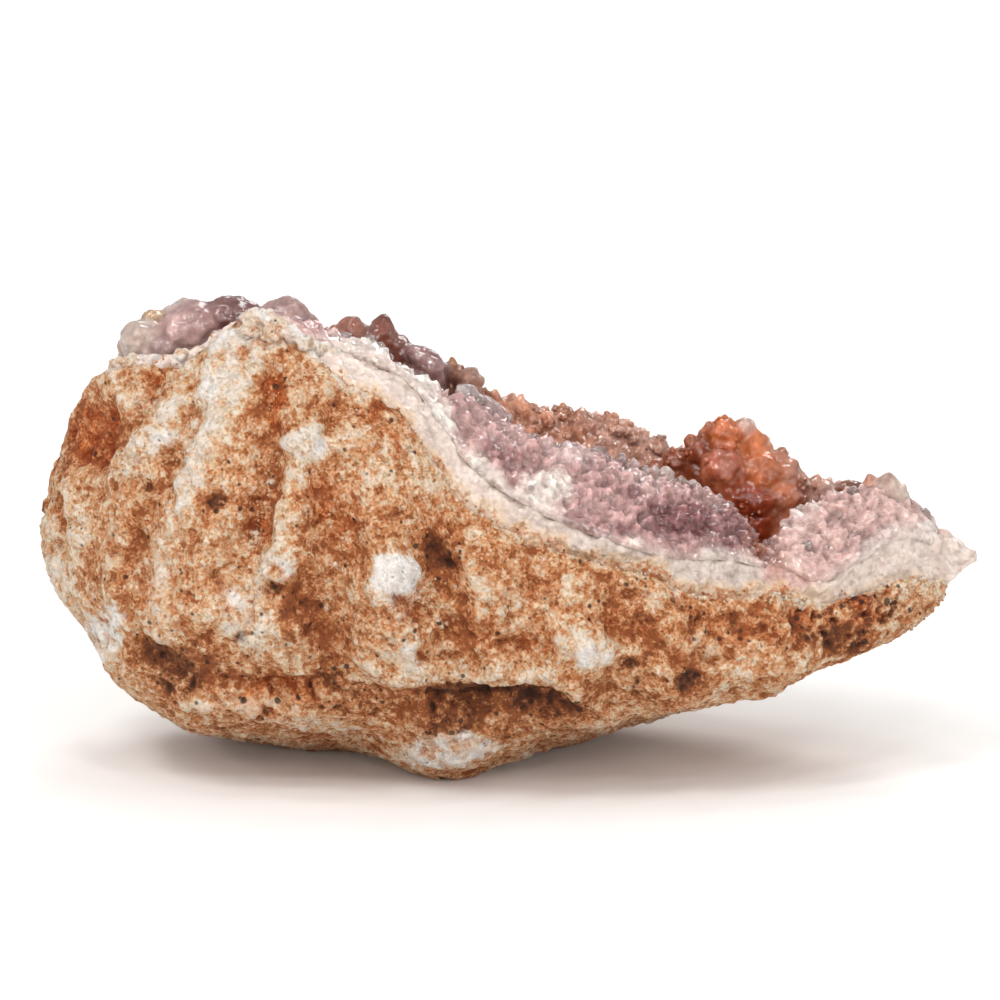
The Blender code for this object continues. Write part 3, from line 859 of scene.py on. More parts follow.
@dataclass(frozen=True)
class Tints:
    """The colours that the crystals and their crust take from place to place."""

    lilac: str = "#E8BAB4"
    deep: str = "#965658"
    pale: str = "#FAE8E2"
    white: str = "#FAEAE0"
    orange: str = "#EFAC8A"
    brown: str = "#CC8C70"
    smoky: str = "#C99A8A"
    pink: str = "#FBD4CA"
    notch_shade: tuple[float, float, float] = (0.78, 0.6, 0.5)  # how much darker the brown is in the notch
    crest: Rows = (  # (x, y) of the ridge between the near slope and the hollow
        (-91, -2), (-74, -14), (-58, -17), (-38, -17), (-28, -19), (-16.5, -22), (0.5, -24), (16, -23.5),
        (28, -22), (39, -19), (46.5, -17), (52.5, -16.5), (58.5, -12), (71.5, -8), (79.5, -5.5), (95, -3),
    )
    white_line: Rows = (  # (across, up): below it the near slope is white
        (-35.2, 31.3), (-26.4, 31.9), (-22.4, 26.6), (-15.0, 25.0), (-10.4, 19.1), (-9.9, 12.8),
        (-3.0, 6.1), (3.5, 0.0), (9.1, -3.0), (20.3, -7.9), (28.9, -11.0), (35.2, -12.4), (45.3, -11.6),
        (50.2, -12.4), (52.2, -14.8), (58.0, -22.0), (63.6, -20.3), (69.5, -14.8), (79.1, -8.3),
        (84.0, -5.5), (97.0, -6.0),
    )
    deep_patches: Rows = (  # each patch of colour is a row for Patches
        (36.8, -4.5, 8.0, 3.8, -10, 1.0), (46.0, -6.0, 5.5, 5.0, -40, 0.85),
        (16.0, -5.0, 8.0, 2.5, -12, 0.4), (-5.5, 4.0, 3.0, 2.6, 0, 0.8), (-1.0, 9.0, 5.5, 3.0, -20, 0.4),
        (68.7, -3.6, 2.2, 1.8, 0, 0.25), (24.0, -6.5, 6.0, 1.2, -8, 0.7),
        (73.0, -8.5, 7.0, 1.6, 40, 0.28),
    )
    brown_patches: Rows = (
        (52.6, -8.0, 3.2, 5.8, -8, 1.0), (56.0, -13.0, 2.0, 4.0, 30, 0.5), (60.0, 0.5, 5.0, 2.0, 10, 0.4),
    )
    white_patches: Rows = (
        (-58.0, 34.0, 9.0, 4.5, 45, 1.0), (9.8, 2.0, 6.0, 4.2, 8, 1.0), (80.0, -7.5, 5.0, 4.0, 20, 0.5),
    )
    pale_patches: Rows = (
        (14.0, 10.5, 7.0, 3.0, -25, 0.6), (28.0, 4.0, 6.0, 2.5, -15, 0.5), (0.0, 12.5, 5.0, 3.0, 0, 0.2),
        (60.0, -3.0, 5.0, 3.0, 20, 0.6), (-5.0, 17.0, 6.0, 3.5, -20, 0.15),
    )

    def at(self, points: np.ndarray, normals: np.ndarray) -> np.ndarray:
        """The tint at each point.

        Args:
            points: (N, 3) in millimetres.
            normals: (N, 3), which tell the near slope from the hollow.

        Returns:
            (N, 3) linear colours.
        """
        drift = fractal(points, 7.0, 3, 5.0)
        seen = VIEW.seen(points)
        near = smooth_step(4.0, 1.5, points[:, 1] - self.crest_at(points[:, 0]) + 2 * drift)
        tint = self.hollow(points, drift)
        slope = self.slope(points, normals, seen, drift)
        return tint + (slope - tint) * near[:, None]

    def crest_at(self, x: np.ndarray) -> np.ndarray:
        """The crest's y at each x."""
        crest = np.array(self.crest)
        return np.interp(x, crest[:, 0], crest[:, 1])

    def slope(self, points: np.ndarray, normals: np.ndarray, seen: np.ndarray,
              drift: np.ndarray) -> np.ndarray:
        """Tints of the near slope: white at its foot, lilac above, deep in places.

        Args:
            points: (N, 3) in millimetres.
            normals: (N, 3).
            seen: (N, 2), where the points show on the front.
            drift: (N,) noise that blurs the borders.

        Returns:
            (N, 3) linear colours.
        """
        line = np.array(self.white_line)
        above = seen[:, 1] - np.interp(seen[:, 0], line[:, 0], line[:, 1])
        tint = self.mixed(linear(self.lilac), linear(self.pink), smooth_step(52, 60, seen[:, 0]))
        for rows, colour, share in (
            (self.deep_patches, linear(self.deep), 0.85),
            (self.brown_patches, linear(self.brown) * self.notch_shade, 1.0),
            (self.pale_patches, linear(self.pale), 0.8),
        ):
            tint = self.mixed(tint, colour, Patches(rows).weight(points, normals) * share)
        tint = self.mixed(tint, linear(self.deep), smooth_step(0.1, 0.7, -drift) * 0.35)
        tint = self.mixed(tint, linear(self.white), Patches(self.white_patches).weight(points, normals))
        return self.mixed(tint, linear(self.white), smooth_step(3.5, -0.5, above + drift * 2.5))

    def hollow(self, points: np.ndarray, drift: np.ndarray) -> np.ndarray:
        """Tints of the hollow: lilac on the left, iron-stained from the middle on, pink at the far right.

        Args:
            points: (N, 3) in millimetres.
            drift: (N,) noise that blurs the borders.

        Returns:
            (N, 3) linear colours.
        """
        x = points[:, 0] + 9 * drift
        tint = self.mixed(linear(self.lilac), linear(self.smoky), smooth_step(-48, -22, x) * 0.7)
        tint = self.mixed(tint, linear(self.orange), smooth_step(-20, -4, x))
        cloudy = smooth_step(0.0, 0.6, drift) * smooth_step(-20, 0, x)
        tint = self.mixed(tint, linear(self.brown), cloudy * 0.8)
        tint = self.mixed(tint, linear(self.pale), smooth_step(14, 24, x) * smooth_step(46, 34, x) * 0.2)
        tint = self.mixed(tint, linear(self.pink), smooth_step(60, 70, points[:, 0] + 3 * drift) * 0.8)
        low = smooth_step(60, 40, points[:, 2])
        return self.mixed(tint, linear(self.brown), low * 0.35)

    @staticmethod
    def mixed(one: np.ndarray, other: np.ndarray, share: np.ndarray) -> np.ndarray:
        """One colour going over to another by a share for each point."""
        return one + (other - one) * share[:, None]


TINTS = Tints()


# ---------------------------------------------------------------- the layers


@dataclass
class Rind:
    """The weathered outside: folds, lumps and pits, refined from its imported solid."""

    lump_height: float = 0.9
    lump_size: float = 8.5
    knob_height: float = 0.75
    knob_size: float = 3.6
    crumb_height: float = 0.45
    crumb_size: float = 1.7
    sugar_height: float = 0.55
    sugar_size: float = 1.9
    pit_depth: float = 1.3
    pit_size: float = 2.6
    lip: float = 0.9  # how far its rim rises over the band
    lip_reach: tuple[float, float] = (1.9, 0.4)  # the rim rises over this distance from the band
    edge: float = 1.6  # this near the band the faces stay as packed
    fade: tuple[float, float] = (0.4, 3.0)  # the relief comes in over this distance from the band
    foot: tuple[float, float] = (0.2, 3.0)  # and over this height from the floor
    smoothing: int = 5
    # the white block in the middle, squarer and sharper at its edge than the soft patches
    block: Patches = Patches(((-21.3, -14.9, 4.9, 4.2, -4, 1.0),), 0.7, 4.0, (1.1, 0.93))
    chalk: Rows = (  # each patch of weathering is a row for Patches; some rows, as marked, are painted shade and painted light, wholly or in part
        (-40.0, 11.4, 5.5, 3.7, 0, 1.25), (-30.5, 26.4, 5.7, 6.1, 0, 0.7),
        (-50.0, 31.0, 8.0, 5.0, 10, 0.8), (-60.0, 16.0, 6.0, 12.0, -25, 0.5),
        (-75.0, 20.0, 6.0, 5.0, 20, 0.5), (-36.0, 30.0, 6.0, 3.0, -20, 0.6),
        (-20.0, -18.6, 6.5, 6.0, -20, 0.8), (-19.9, -31.5, 6.1, 2.8, -25, 0.85),
        (-52.0, -23.4, 7.7, 8.1, 0, 0.55), (-44.7, -12.2, 3.7, 5.3, 0, 0.85),
        (18.3, -30.1, 6.5, 3.7, -15, 0.8), (-71.1, 12.2, 4.1, 8.1, -35, 0.55),
        (-63.0, 6.1, 3.7, 14.2, -12, 0.6), (-55.9, 23.4, 4.5, 6.1, -35, 0.6),
        (-53.9, 32.5, 8.9, 4.1, 25, 0.8), (-90.9, -5.7, 2.4, 3.3, 0, 0.6),
        (-90.2, -13.6, 2.0, 5.1, 0, 0.6), (-82.3, -28.5, 5.1, 7.7, -35, 1.4),
        (-71.1, -12.2, 5.1, 8.1, 0, 0.35), (-52.8, -40.7, 8.1, 2.4, 5, 0.35),
        # the second patch below is partly the rock's white and partly painted light on the shaded underside
        # low on the stone
        (-40.7, -45.1, 4.1, 2.0, 0, 0.4), (-10.0, -51.0, 12.0, 4.2, 6, 1.05),
        (-30.5, -47.8, 5.1, 2.4, -20, 0.45), (30.5, -20.3, 8.1, 2.8, -8, 0.4),
        (40.7, -28.5, 6.1, 2.0, -5, 0.4), (77.2, -25.4, 4.1, 1.4, -20, 0.25),
        (-3.7, -17.3, 3.0, 2.5, 0, 0.5), (3.0, -26.0, 4.0, 2.0, 0, 0.5),
    )
    rust: Rows = (
        (-83.9, 13.6, 6.1, 7.3, 0, 0.95), (-71.1, 27.4, 4.5, 3.3, 0, 0.9),
        (-45.7, 20.3, 3.7, 8.1, 10, 0.75), (-25.4, 14.2, 8.1, 8.1, 0, 0.7),
        (-32.5, 0.0, 12.2, 8.1, 0, 0.55), (-12.2, -6.1, 6.1, 12.2, -20, 0.5),
        (4.1, -16.3, 12.2, 6.1, -10, 0.45), (36.6, -22.4, 12.2, 4.1, -5, 0.5),
        (52.8, -24.4, 8.1, 4.1, -5, 0.6), (-67.1, -20.3, 6.1, 8.1, 0, 0.6),
        (-50.8, -2.0, 6.1, 8.1, 0, 0.45), (70.0, -22.0, 12.0, 5.0, 10, 0.9),
        (26.0, -23.0, 14.0, 6.0, -8, 0.5), (50.0, -26.0, 14.0, 6.0, -6, 0.6),
        (-48.0, -40.5, 14.0, 4.0, 0, 0.8), (-20.0, -24.0, 5.0, 3.0, -20, 0.6),
        (2.0, -25.0, 14.0, 6.0, -8, 0.4),
    )
    # soot patches; some rows below are painted shade and painted shadow, as marked
    soot: Rows = (
        # the first patch below is the dark recess low in the middle: soot, and painted shade in the recess
        (-2.0, -40.2, 17.3, 3.9, -4, 0.85), (-12.2, -11.6, 2.8, 4.5, 0, 0.75),
        (-40.7, -24.4, 7.3, 6.9, 0, 0.45), (-52.2, -27.6, 4.1, 2.4, 0, 0.85),
        (-67.1, -34.6, 9.1, 5.1, -25, 0.75), (-19.5, -1.8, 2.8, 2.4, 0, 0.5),
        # the first patch below is painted shadow under the white knob
        (-47.8, -18.3, 2.8, 2.4, 0, 0.9), (-32.5, -38.6, 8.1, 5.1, 0, 0.6),
        (38.6, -37.0, 4.1, 2.4, 0, 0.7), (8.1, -47.8, 12.2, 2.8, 0, 0.35),
        # the first patch below lies on the tail's underside: soot, and painted shade under the tail
        (69.1, -28.5, 10.0, 3.0, -10, 0.8), (62.0, -24.0, 3.0, 3.0, 0, 0.6),
        (-50.0, -20.0, 9.0, 7.0, 0, 0.35), (-56.0, -31.0, 9.0, 6.0, 0, 0.35),
        (-50.0, -38.0, 14.0, 4.0, 0, 0.4), (-30.0, -31.0, 9.0, 6.0, 0, 0.35),
        (-6.0, -29.0, 14.0, 5.0, -8, 0.3), (-28.0, -42.0, 9.0, 4.0, 0, 0.45),
        (25.0, -37.0, 14.0, 4.0, 8, 0.45), (73.0, -23.5, 12.0, 5.0, 12, 0.72),
        (-8.0, -44.5, 10.0, 4.2, 20, 0.7), (13.0, -42.0, 10.0, 3.8, 8, 0.7),
        (27.0, -33.5, 5.0, 4.0, 0, 0.7), (38.5, -37.0, 5.0, 3.2, 0, 0.8),
        (-12.0, -11.0, 5.0, 6.0, 0, 0.45), (-48.0, -42.0, 13.0, 4.0, 0, 0.5),
        (38.0, -23.5, 22.0, 6.5, -6, 0.46), (-57.5, 0.2, 1.6, 2.0, 0, 0.95),
        (-73.0, 3.0, 1.4, 1.8, 0, 0.9), (-71.0, 27.0, 3.0, 2.5, 0, 0.6),
        (28.0, -28.0, 10.0, 3.0, -8, 0.35),
    )
    folds: Sequence[tuple[float, float, Rows]] = (  # rows for Folds
        (1.8, 2.8, ((-65.0, 19.9), (-77.6, 7.3), (-86.4, 1.8), (-88.0, -14.4), (-86.8, -19.9))),
        (-2.3, 2.6, ((-60.8, 16.7), (-65.0, 7.3), (-69.9, -2.4), (-72.8, -6.9), (-75.4, -14.4))),
        (1.9, 2.8, ((-55.9, 33.0), (-57.5, 23.6), (-60.8, 12.8), (-65.0, 0.8), (-68.3, -3.5), (-69.3, -19.9),
                    (-67.7, -28.0))),
        (1.4, 1.3, ((-48.2, 28.0), (-56.3, 18.7), (-66.1, 4.1))),
        (-2.4, 2.8, ((-44.9, 26.4), (-48.8, 11.8), (-46.5, 4.1), (-49.2, -6.9))),
        (-2.6, 4.2, ((-82.5, 16.0), (-84.5, 10.0))),
        (-2.2, 2.6, ((-70.0, 23.5), (-76.0, 16.0), (-80.5, 7.0), (-84.0, 2.5))),
        (1.3, 2.2, ((-89.2, 19.9), (-77.0, 29.0))),
        (-1.6, 2.2, ((-90.0, -1.0), (-88.5, -9.5))),
        (1.6, 3.6, ((-40.0, 12.0), (-42.5, 3.0), (-43.5, -4.0))),
        (-1.5, 1.6, ((-35.6, 11.0), (-33.5, 19.0), (-29.5, 19.5), (-23.0, 14.8))),
        (1.7, 5.0, ((-28.0, 12.5), (-20.0, 8.0))),
        (-1.7, 3.4, ((-37.0, 5.0), (-33.0, -6.0), (-33.5, -14.0))),
        (-2.0, 3.2, ((-40.5, -18.0), (-37.0, -24.0), (-33.5, -30.0))),
        (-2.0, 2.6, ((-13.6, -8.0), (-11.5, -14.5), (-8.0, -22.0))),
        (1.4, 2.0, ((-31.9, -29.9), (-23.0, -35.2), (-15.9, -37.0), (-6.9, -37.8), (2.6, -36.8),
                    (11.0, -35.8), (15.7, -40.0), (23.0, -43.5))),
        (-3.0, 2.8, ((-19.5, -41.5), (-8.0, -41.8), (3.0, -41.0), (12.0, -42.0))),
        (-1.8, 1.5, ((-58.5, -36.2), (-47.0, -37.6), (-35.6, -37.2))),
        (1.6, 3.0, ((-60.0, -41.0), (-48.0, -42.5), (-38.0, -43.0))),
        (1.6, 5.0, ((-56.0, -21.0), (-49.0, -27.0))),
        (-1.6, 2.0, ((-77.0, -22.0), (-72.0, -31.0), (-64.0, -36.0))),
        (1.0, 1.0, ((40.2, -34.0), (51.6, -34.6))),
        (-1.4, 1.8, ((22.0, -25.0), (34.0, -31.5), (44.0, -32.5))),
        (1.4, 4.0, ((14.0, -30.0), (23.0, -31.0))),
        (-1.3, 1.8, ((60.5, -20.5), (61.5, -27.0), (60.0, -31.0))),
        (1.0, 2.6, ((66.0, -24.5), (78.0, -22.0))),
        (-1.4, 2.0, ((-20.0, -20.5), (-8.0, -27.0), (6.0, -29.5))),
    )
    hollows: Rows = (  # pressed in, strength in millimetres
        (-57.5, 0.2, 2.2, 2.4, 0, 1.6), (-73.0, 3.0, 1.9, 2.2, 0, 1.4), (-61.4, -43.9, 1.6, 1.6, 0, 1.2),
        (-2.0, -40.2, 16.0, 3.4, -4, 1.6), (-47.8, -18.3, 3.0, 2.4, 0, 1.2),
        (-12.2, -10.0, 3.0, 3.5, 0, 1.0), (-70.0, 26.0, 2.0, 1.8, 0, 1.2),
        (38.6, -37.5, 3.5, 2.0, 0, 1.0),
    )
    swells: Rows = (  # lifted out, strength in millimetres
        (-44.7, -12.2, 3.6, 5.0, 0, 1.5), (-40.0, 11.4, 5.0, 3.4, 0, 1.0),
        (-52.0, -22.0, 7.5, 6.0, 0, 1.0), (-21.1, -14.8, 5.0, 4.4, 0, 0.9),
        (-90.9, -5.7, 2.2, 3.0, 0, 0.9), (-24.0, -28.0, 8.0, 3.0, -15, 0.8),
        (-4.0, -34.5, 16.0, 1.8, -3, 1.2), (18.3, -30.0, 6.5, 3.0, -15, 0.8),
    )

    def build(self, stone: Stone) -> Object:
        """Makes the rind.

        Args:
            stone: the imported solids.

        Returns:
            The piece.
        """
        obj = refined(Solid.RIND, "weathered_rind")
        outside = stone.distance(Solid.BAND, points_of(obj.data)) > self.edge
        subdivide_where(obj, outside, 3, self.smoothing)
        mesh = obj.data
        points, normals = points_of(mesh), normals_of(mesh)
        from_band = stone.distance(Solid.BAND, points)
        free = smooth_step(*self.fade, from_band) * smooth_step(*self.foot, points[:, 2])
        seam = stone.from_seam(points)
        weather = self.weather(points, normals, seam)
        fine = self.fine_relief(points, weather)
        coarse = self.lump_height * fractal(points, self.lump_size, 2, 2.0)
        coarse += Patches(self.swells, 0.8).weight(points, normals)
        coarse -= Patches(self.hollows, 0.8).weight(points, normals)
        coarse += Folds(self.folds).height(points, normals)
        lip = smooth_step(*self.lip_reach, from_band) * smooth_step(*LIP_END, seam)
        lip *= self.lip * (0.7 + 1.1 * fractal(points, 2.4, 3, 55.0))
        moved = points + normals * ((coarse + fine) * free + lip)[:, None]
        moved[:, 2] = np.maximum(moved[:, 2], 0.0)
        move_to(mesh, moved)
        store(mesh, "weather", weather)
        # the relief also sets the rock's colour: low places are painted darker as painted shade, and high
        # ones lighter as painted light
        relief = np.clip(fine, -1, 1) + np.clip(coarse / 3.0, -0.45, 0.45)
        store(mesh, "relief", relief * (0.3 + 0.7 * free))
        hand_over(obj, WeatheredRock().material(), "rind", Solid.RIND.value)
        return obj

    def weather(self, points: np.ndarray, normals: np.ndarray, seam: np.ndarray) -> np.ndarray:
        """How weathered the rind is. Chalk creeps over the rim from the bare band.

        Args:
            points: (N, 3) in millimetres.
            normals: (N, 3).
            seam: (N,) distances from the bare band.

        Returns:
            (N, 3): shares of chalk, rust and soot. Along the folds the chalk and rust shares are partly
                painted light and painted shade, and the soot share also holds painted shade.
        """
        around = smooth_step(0.3, -0.5, normals @ VIEW.back)
        drift = [fractal(points, size, 3, shift) for size, shift in ((17, 11.0), (14, 23.0), (19, 31.0))]
        # under: the soot share rises towards the floor, which is painted shade low on the stone
        under = smooth_step(22, 4, points[:, 2])
        fold = np.clip(Folds(self.folds).height(points, normals) / 2.2, -1, 1)
        ragged = 0.75 + 0.7 * fractal(points, 3.0, 3, 27.0)
        # chalk rises on the folds' ridges and rust in their valleys: partly the rock's own colour, partly
        # painted light on the ridges and painted shade in the valleys
        chalk = (Patches(self.chalk).weight(points, normals) + 0.35 * np.maximum(fold, 0)) * ragged
        chalk += around * smooth_step(0.0, 0.6, drift[0]) * 0.8
        chalk = np.maximum(chalk, self.block.weight(points, normals))
        rust = (Patches(self.rust).weight(points, normals) + 0.5 * np.maximum(-fold, 0)) * ragged
        rust += around * smooth_step(-0.1, 0.5, drift[1]) * 0.8
        soot = Patches(self.soot).weight(points, normals) + around * smooth_step(0.25, 0.7, drift[2]) * 0.8
        rim = smooth_step(3.5, 0.6, seam + 3.5 * fractal(points, 4.5, 3, 41.0))
        chalk, rust = chalk + 0.55 * rim, rust * (1 - 0.5 * rim)
        return np.clip(np.column_stack([chalk, rust, soot + under * 0.1]), 0, 1)

    def fine_relief(self, points: np.ndarray, weather: np.ndarray) -> np.ndarray:
        """Knobs, crumbs and pits.

        Args:
            points: (N, 3) in millimetres.
            weather: (N, 3), because rust is more pitted and chalk more sugary.

        Returns:
            (N,): how far each point stands out, in millimetres.
        """
        knobs = self.knob_height * (cells(points, self.knob_size, 4.0) - 0.55)
        crumbs = self.crumb_height * fractal(points, self.crumb_size, 3, 8.0)
        pits = smooth_step(0.18, 0.55, fractal(points, self.pit_size, 2, 17.0))
        pits *= 0.25 + 0.5 * weather[:, 1] + 0.6 * weather[:, 2]
        sugar = self.sugar_height * (cells(points, self.sugar_size, 9.0) - 0.5) * (0.4 + 0.8 * weather[:, 0])
        return knobs * (0.75 + 0.5 * weather[:, 0]) + crumbs + sugar - self.pit_depth * pits


@dataclass
class Band:
    """The milky layer between rind and crystals, with sugary grains on its broken edge."""

    lump_height: float = 0.95
    lump_size: float = 3.1
    grain_height: float = 0.35
    grain_size: float = 1.2
    lip: float = 1.3  # how far it rises to the crust's edge
    lip_reach: tuple[float, float] = (2.4, 0.5)  # it rises over this distance from the crust
    tip: tuple[float, float] = (89.0, 43.2)  # where the bare point at its right end starts, and its height
    stain_reach: float = 4.5  # how far iron seeps in from the rind

    def build(self, stone: Stone) -> Object:
        """Makes the band.

        Args:
            stone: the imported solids.

        Returns:
            The piece.
        """
        obj = refined(Solid.BAND, "milky_band")
        points = points_of(obj.data)
        bare = self.bare(stone, points) > 0.02
        subdivide_where(obj, bare, 2, 3)
        mesh = obj.data
        points, normals = points_of(mesh), normals_of(mesh)
        free = 0.25 + 0.75 * self.bare(stone, points)
        height = self.lump_height * (cells(points, self.lump_size, 6.0) - 0.5)
        height += self.grain_height * fractal(points, self.grain_size, 2, 5.0)
        lip = smooth_step(*self.lip_reach, stone.distance(Solid.CRUST, points))
        lip *= smooth_step(*LIP_END, stone.from_seam(points))
        lip *= self.lip * (0.85 + 0.9 * fractal(points, 2.6, 2, 55.0))
        moved = points + normals * (height * free + lip)[:, None]
        start, level = self.tip
        moved[:, 2] += (level - moved[:, 2]) * smooth_step(start, start + 7, moved[:, 0]) * 0.6
        move_to(mesh, moved)
        rind = stone.distance(Solid.RIND, points)
        stain = smooth_step(self.stain_reach, 0.2, rind + 2.0 * fractal(points, 4.0, 3, 1.0))
        stain *= 0.2 + 0.8 * smooth_step(-38, -30, points[:, 0])
        store(mesh, "stain", stain * (1 - 0.45 * smooth_step(56, 64, points[:, 0])))
        dim = 1 - 0.1 * smooth_step(-40, -20, points[:, 0]) - 0.12 * smooth_step(-15, 25, points[:, 0])
        dim += 0.13 * smooth_step(48, 62, points[:, 0])
        store(mesh, "tint", np.clip(TINTS.at(points, normals) / linear(TINTS.white) * dim[:, None], 0, 1))
        hand_over(obj, MilkyQuartz().material(), "milky_quartz", Solid.BAND.value)
        return obj

    @staticmethod
    def bare(stone: Stone, points: np.ndarray) -> np.ndarray:
        """1 where the band lies bare, 0 where the rind or the crust covers it."""
        rind, crust = stone.distance(Solid.RIND, points), stone.distance(Solid.CRUST, points)
        return smooth_step(0.15, 1.0, np.minimum(rind, crust))


@dataclass
class Crust:
    """Blunt crystals grown into one another as one skin, large ones with small ones on them."""

    sizes: tuple[float, float] = (3.3, 1.7)  # distance between crystals
    heights: tuple[float, float] = (2.2, 1.1)
    steepness: float = 1.25
    tilt: float = 0.35
    swell_height: float = 0.8
    swell_size: float = 7.0
    sunk: float = 0.9  # how far the crystals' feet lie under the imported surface
    lip: tuple[float, float] = (0.1, 0.6)  # how far its edge rises everywhere, and further by the bare band
    edge: float = 1.2  # this near the band the faces stay as packed
    fade: tuple[float, float] = (0.2, 3.6)  # the crystals come in over this distance from the band
    pale: tuple[float, float] = (0.55, 0.74)  # greens from which a tint counts as white

    def build(self, stone: Stone) -> Object:
        """Makes the crust.

        Args:
            stone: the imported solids.

        Returns:
            The piece.
        """
        obj = refined(Solid.CRUST, "amethyst_crust")
        mesh = obj.data
        subdivide_where(obj, stone.distance(Solid.BAND, points_of(mesh)) > self.edge, 3, 3)
        points, normals = points_of(mesh), normals_of(mesh)
        free = smooth_step(*self.fade, stone.distance(Solid.BAND, points))
        large, small = (
            self.crystals(points, normals, size, height) for size, height in zip(self.sizes, self.heights)
        )
        height = large + small + self.swell_height * fractal(points, self.swell_size, 2, 2.0) - self.sunk
        lip = self.lip[0] + self.lip[1] * smooth_step(*LIP_END, stone.from_seam(points))
        move_to(mesh, points + normals * (height * free + lip * (1 - free))[:, None])
        tips = smooth_step(0.2, 1.0, large / self.heights[0]) - 0.5 + 0.5 * small / self.heights[1]
        tint = TINTS.at(points, normals)
        pale = smooth_step(*self.pale, tint[:, 1])
        # painted light on the crystals' tips and painted shade in the grooves between them; white places are
        # lifted brighter
        shade = (0.8 + 0.34 * tips) * (1 - pale) + (1.02 + 0.2 * tips) * pale
        store(mesh, "tint", np.clip(tint * shade[:, None], 0, 1))
        hand_over(obj, GROWN_TOGETHER.material(), "amethyst", Solid.CRUST.value)
        return obj

    def crystals(self, points: np.ndarray, normals: np.ndarray, size: float, height: float) -> np.ndarray:
        """How far a layer of six-sided crystals rises over each point.

        Args:
            points: (N, 3) in millimetres.
            normals: (N, 3), the ways the crystals point, more or less.
            size: the distance between crystals, in millimetres.
            height: the tallest, in millimetres.

        Returns:
            (N,) heights from 0.
        """
        middles = np.array([noise.voronoi(Vector(p))[1] for p in points / size]) * size
        total = np.zeros(len(points))
        for middle in middles.transpose(1, 0, 2):
            chance = np.sin(middle @ (12.99, 78.23, 37.72) + np.arange(4)[:, None] * 5.1) * 4375.85
            chance = (chance - np.floor(chance)).T
            way = normals + (chance[:, :3] - 0.5) * 2 * self.tilt
            way /= np.linalg.norm(way, axis=1)[:, None]
            turn = turned(way, chance[:, 3] * 6.0)
            across = np.einsum("nij,ni->nj", turn, points - middle)[:, :2]
            sides = [across @ (math.cos(k * math.pi / 3), math.sin(k * math.pi / 3)) for k in range(6)]
            reach = np.max(sides, axis=0) - 0.16 * size
            rise = height * (0.45 + 0.55 * chance[:, 0]) - self.steepness * np.maximum(reach, 0)
            total = np.maximum(total, rise)
        return total


# ---------------------------------------------------------------- crystals


class Habit(Enum):
    """How a crystal is shaped: (height, reach) of its rings over its foot, and whether it ends in a point."""

    SHARP = (((0.0, 0.9), (0.55, 1.0)), True)
    BLUNT = (((0.0, 0.85), (0.5, 1.0), (0.85, 0.62)), False)
    STUBBY = (((0.0, 0.95), (0.35, 1.0), (0.75, 0.72)), True)
    CHISEL = (((0.0, 0.9), (0.6, 1.0), (0.92, 0.4)), False)


def model_crystal(habit: Habit, lean: float) -> Object:
    """One crystal a unit high and a unit in radius, six-sided, standing on its foot.

    Args:
        habit: its shape.
        lean: how far its tip is off its middle.

    Returns:
        The pattern, which is copied and then removed.
    """
    rings, pointed = habit.value
    deselect()
    foot = rings[0][1]
    bpy.ops.mesh.primitive_circle_add(vertices=6, radius=foot, fill_type="NGON", enter_editmode=True)
    pattern = bpy.context.object
    pattern.name = f"pattern_{habit.name.lower()}"
    bpy.ops.mesh.select_mode(type="FACE")
    for (low, before), (high, reach) in zip(rings, rings[1:]):
        bpy.ops.mesh.extrude_region_move(TRANSFORM_OT_translate={"value": (0, 0, high - low)})
        bpy.ops.transform.resize(value=(reach / before, reach / before * (0.9 if high > 0.7 else 1), 1))
    bpy.ops.mesh.extrude_region_move(TRANSFORM_OT_translate={"value": (lean, lean / 2, 1 - rings[-1][0])})
    if pointed:
        bpy.ops.mesh.merge(type="CENTER")
    else:
        bpy.ops.transform.resize(value=(0.45, 0.4, 1))
    bpy.ops.mesh.select_all(action="SELECT")
    bpy.ops.mesh.normals_make_consistent(inside=False)
    deselect()
    return pattern


@dataclass
class Seats:
    """Where crystals stand: one row for each."""

    feet: np.ndarray
    ways: np.ndarray
    radii: np.ndarray
    heights: np.ndarray
    tints: np.ndarray

    def __len__(self) -> int:
        """How many there are."""
        return len(self.feet)

    def pick(self, chosen: np.ndarray) -> "Seats":
        """The chosen rows."""
        return Seats(self.feet[chosen], self.ways[chosen], self.radii[chosen], self.heights[chosen],
                     self.tints[chosen])


def grow(name: str, seats: Seats, patterns: Sequence[Object], seed: int,
         swell: float = 0.0) -> Object:
    """Copies patterns onto seats and joins them in one mesh.

    Args:
        name: the piece's name.
        seats: where the crystals stand.
        patterns: the shapes, taken in turn at random.
        seed: fixes the choice.
        swell: how far noise moves each crystal's own corners, as a share of its radius.

    Returns:
        The piece, flat-shaded.
    """
    rng = np.random.default_rng(seed)
    which = rng.integers(0, len(patterns), len(seats))
    spins = rng.uniform(0, 2 * math.pi, len(seats))
    turns = turned(seats.ways, spins)
    points, faces, tints, start = [], [], [], 0
    for index, pattern in enumerate(patterns):
        mine = np.flatnonzero(which == index)
        shape = points_of(pattern.data) * MM
        outline = [tuple(p.vertices) for p in pattern.data.polygons]
        sizes = np.column_stack([seats.radii[mine], seats.radii[mine], seats.heights[mine]])
        local = shape[None] * sizes[:, None, :]
        local += rng.normal(0, 1, local.shape) * swell * seats.radii[mine][:, None, None]
        stood = np.einsum("nij,npj->npi", turns[mine], local) + seats.feet[mine][:, None]
        points.append(stood.reshape(-1, 3))
        tints.append(np.repeat(seats.tints[mine], len(shape), axis=0))
        for copy in range(len(mine)):
            base = start + copy * len(shape)
            faces.extend(tuple(base + v for v in face) for face in outline)
        start += len(mine) * len(shape)
    mesh = bpy.data.meshes.new(name)
    mesh.from_pydata((np.vstack(points) * MM).tolist(), [], faces)
    mesh.update()
    store(mesh, "tint", np.vstack(tints))
    obj = bpy.data.objects.new(name, mesh)
    bpy.context.scene.collection.objects.link(obj)
    return obj


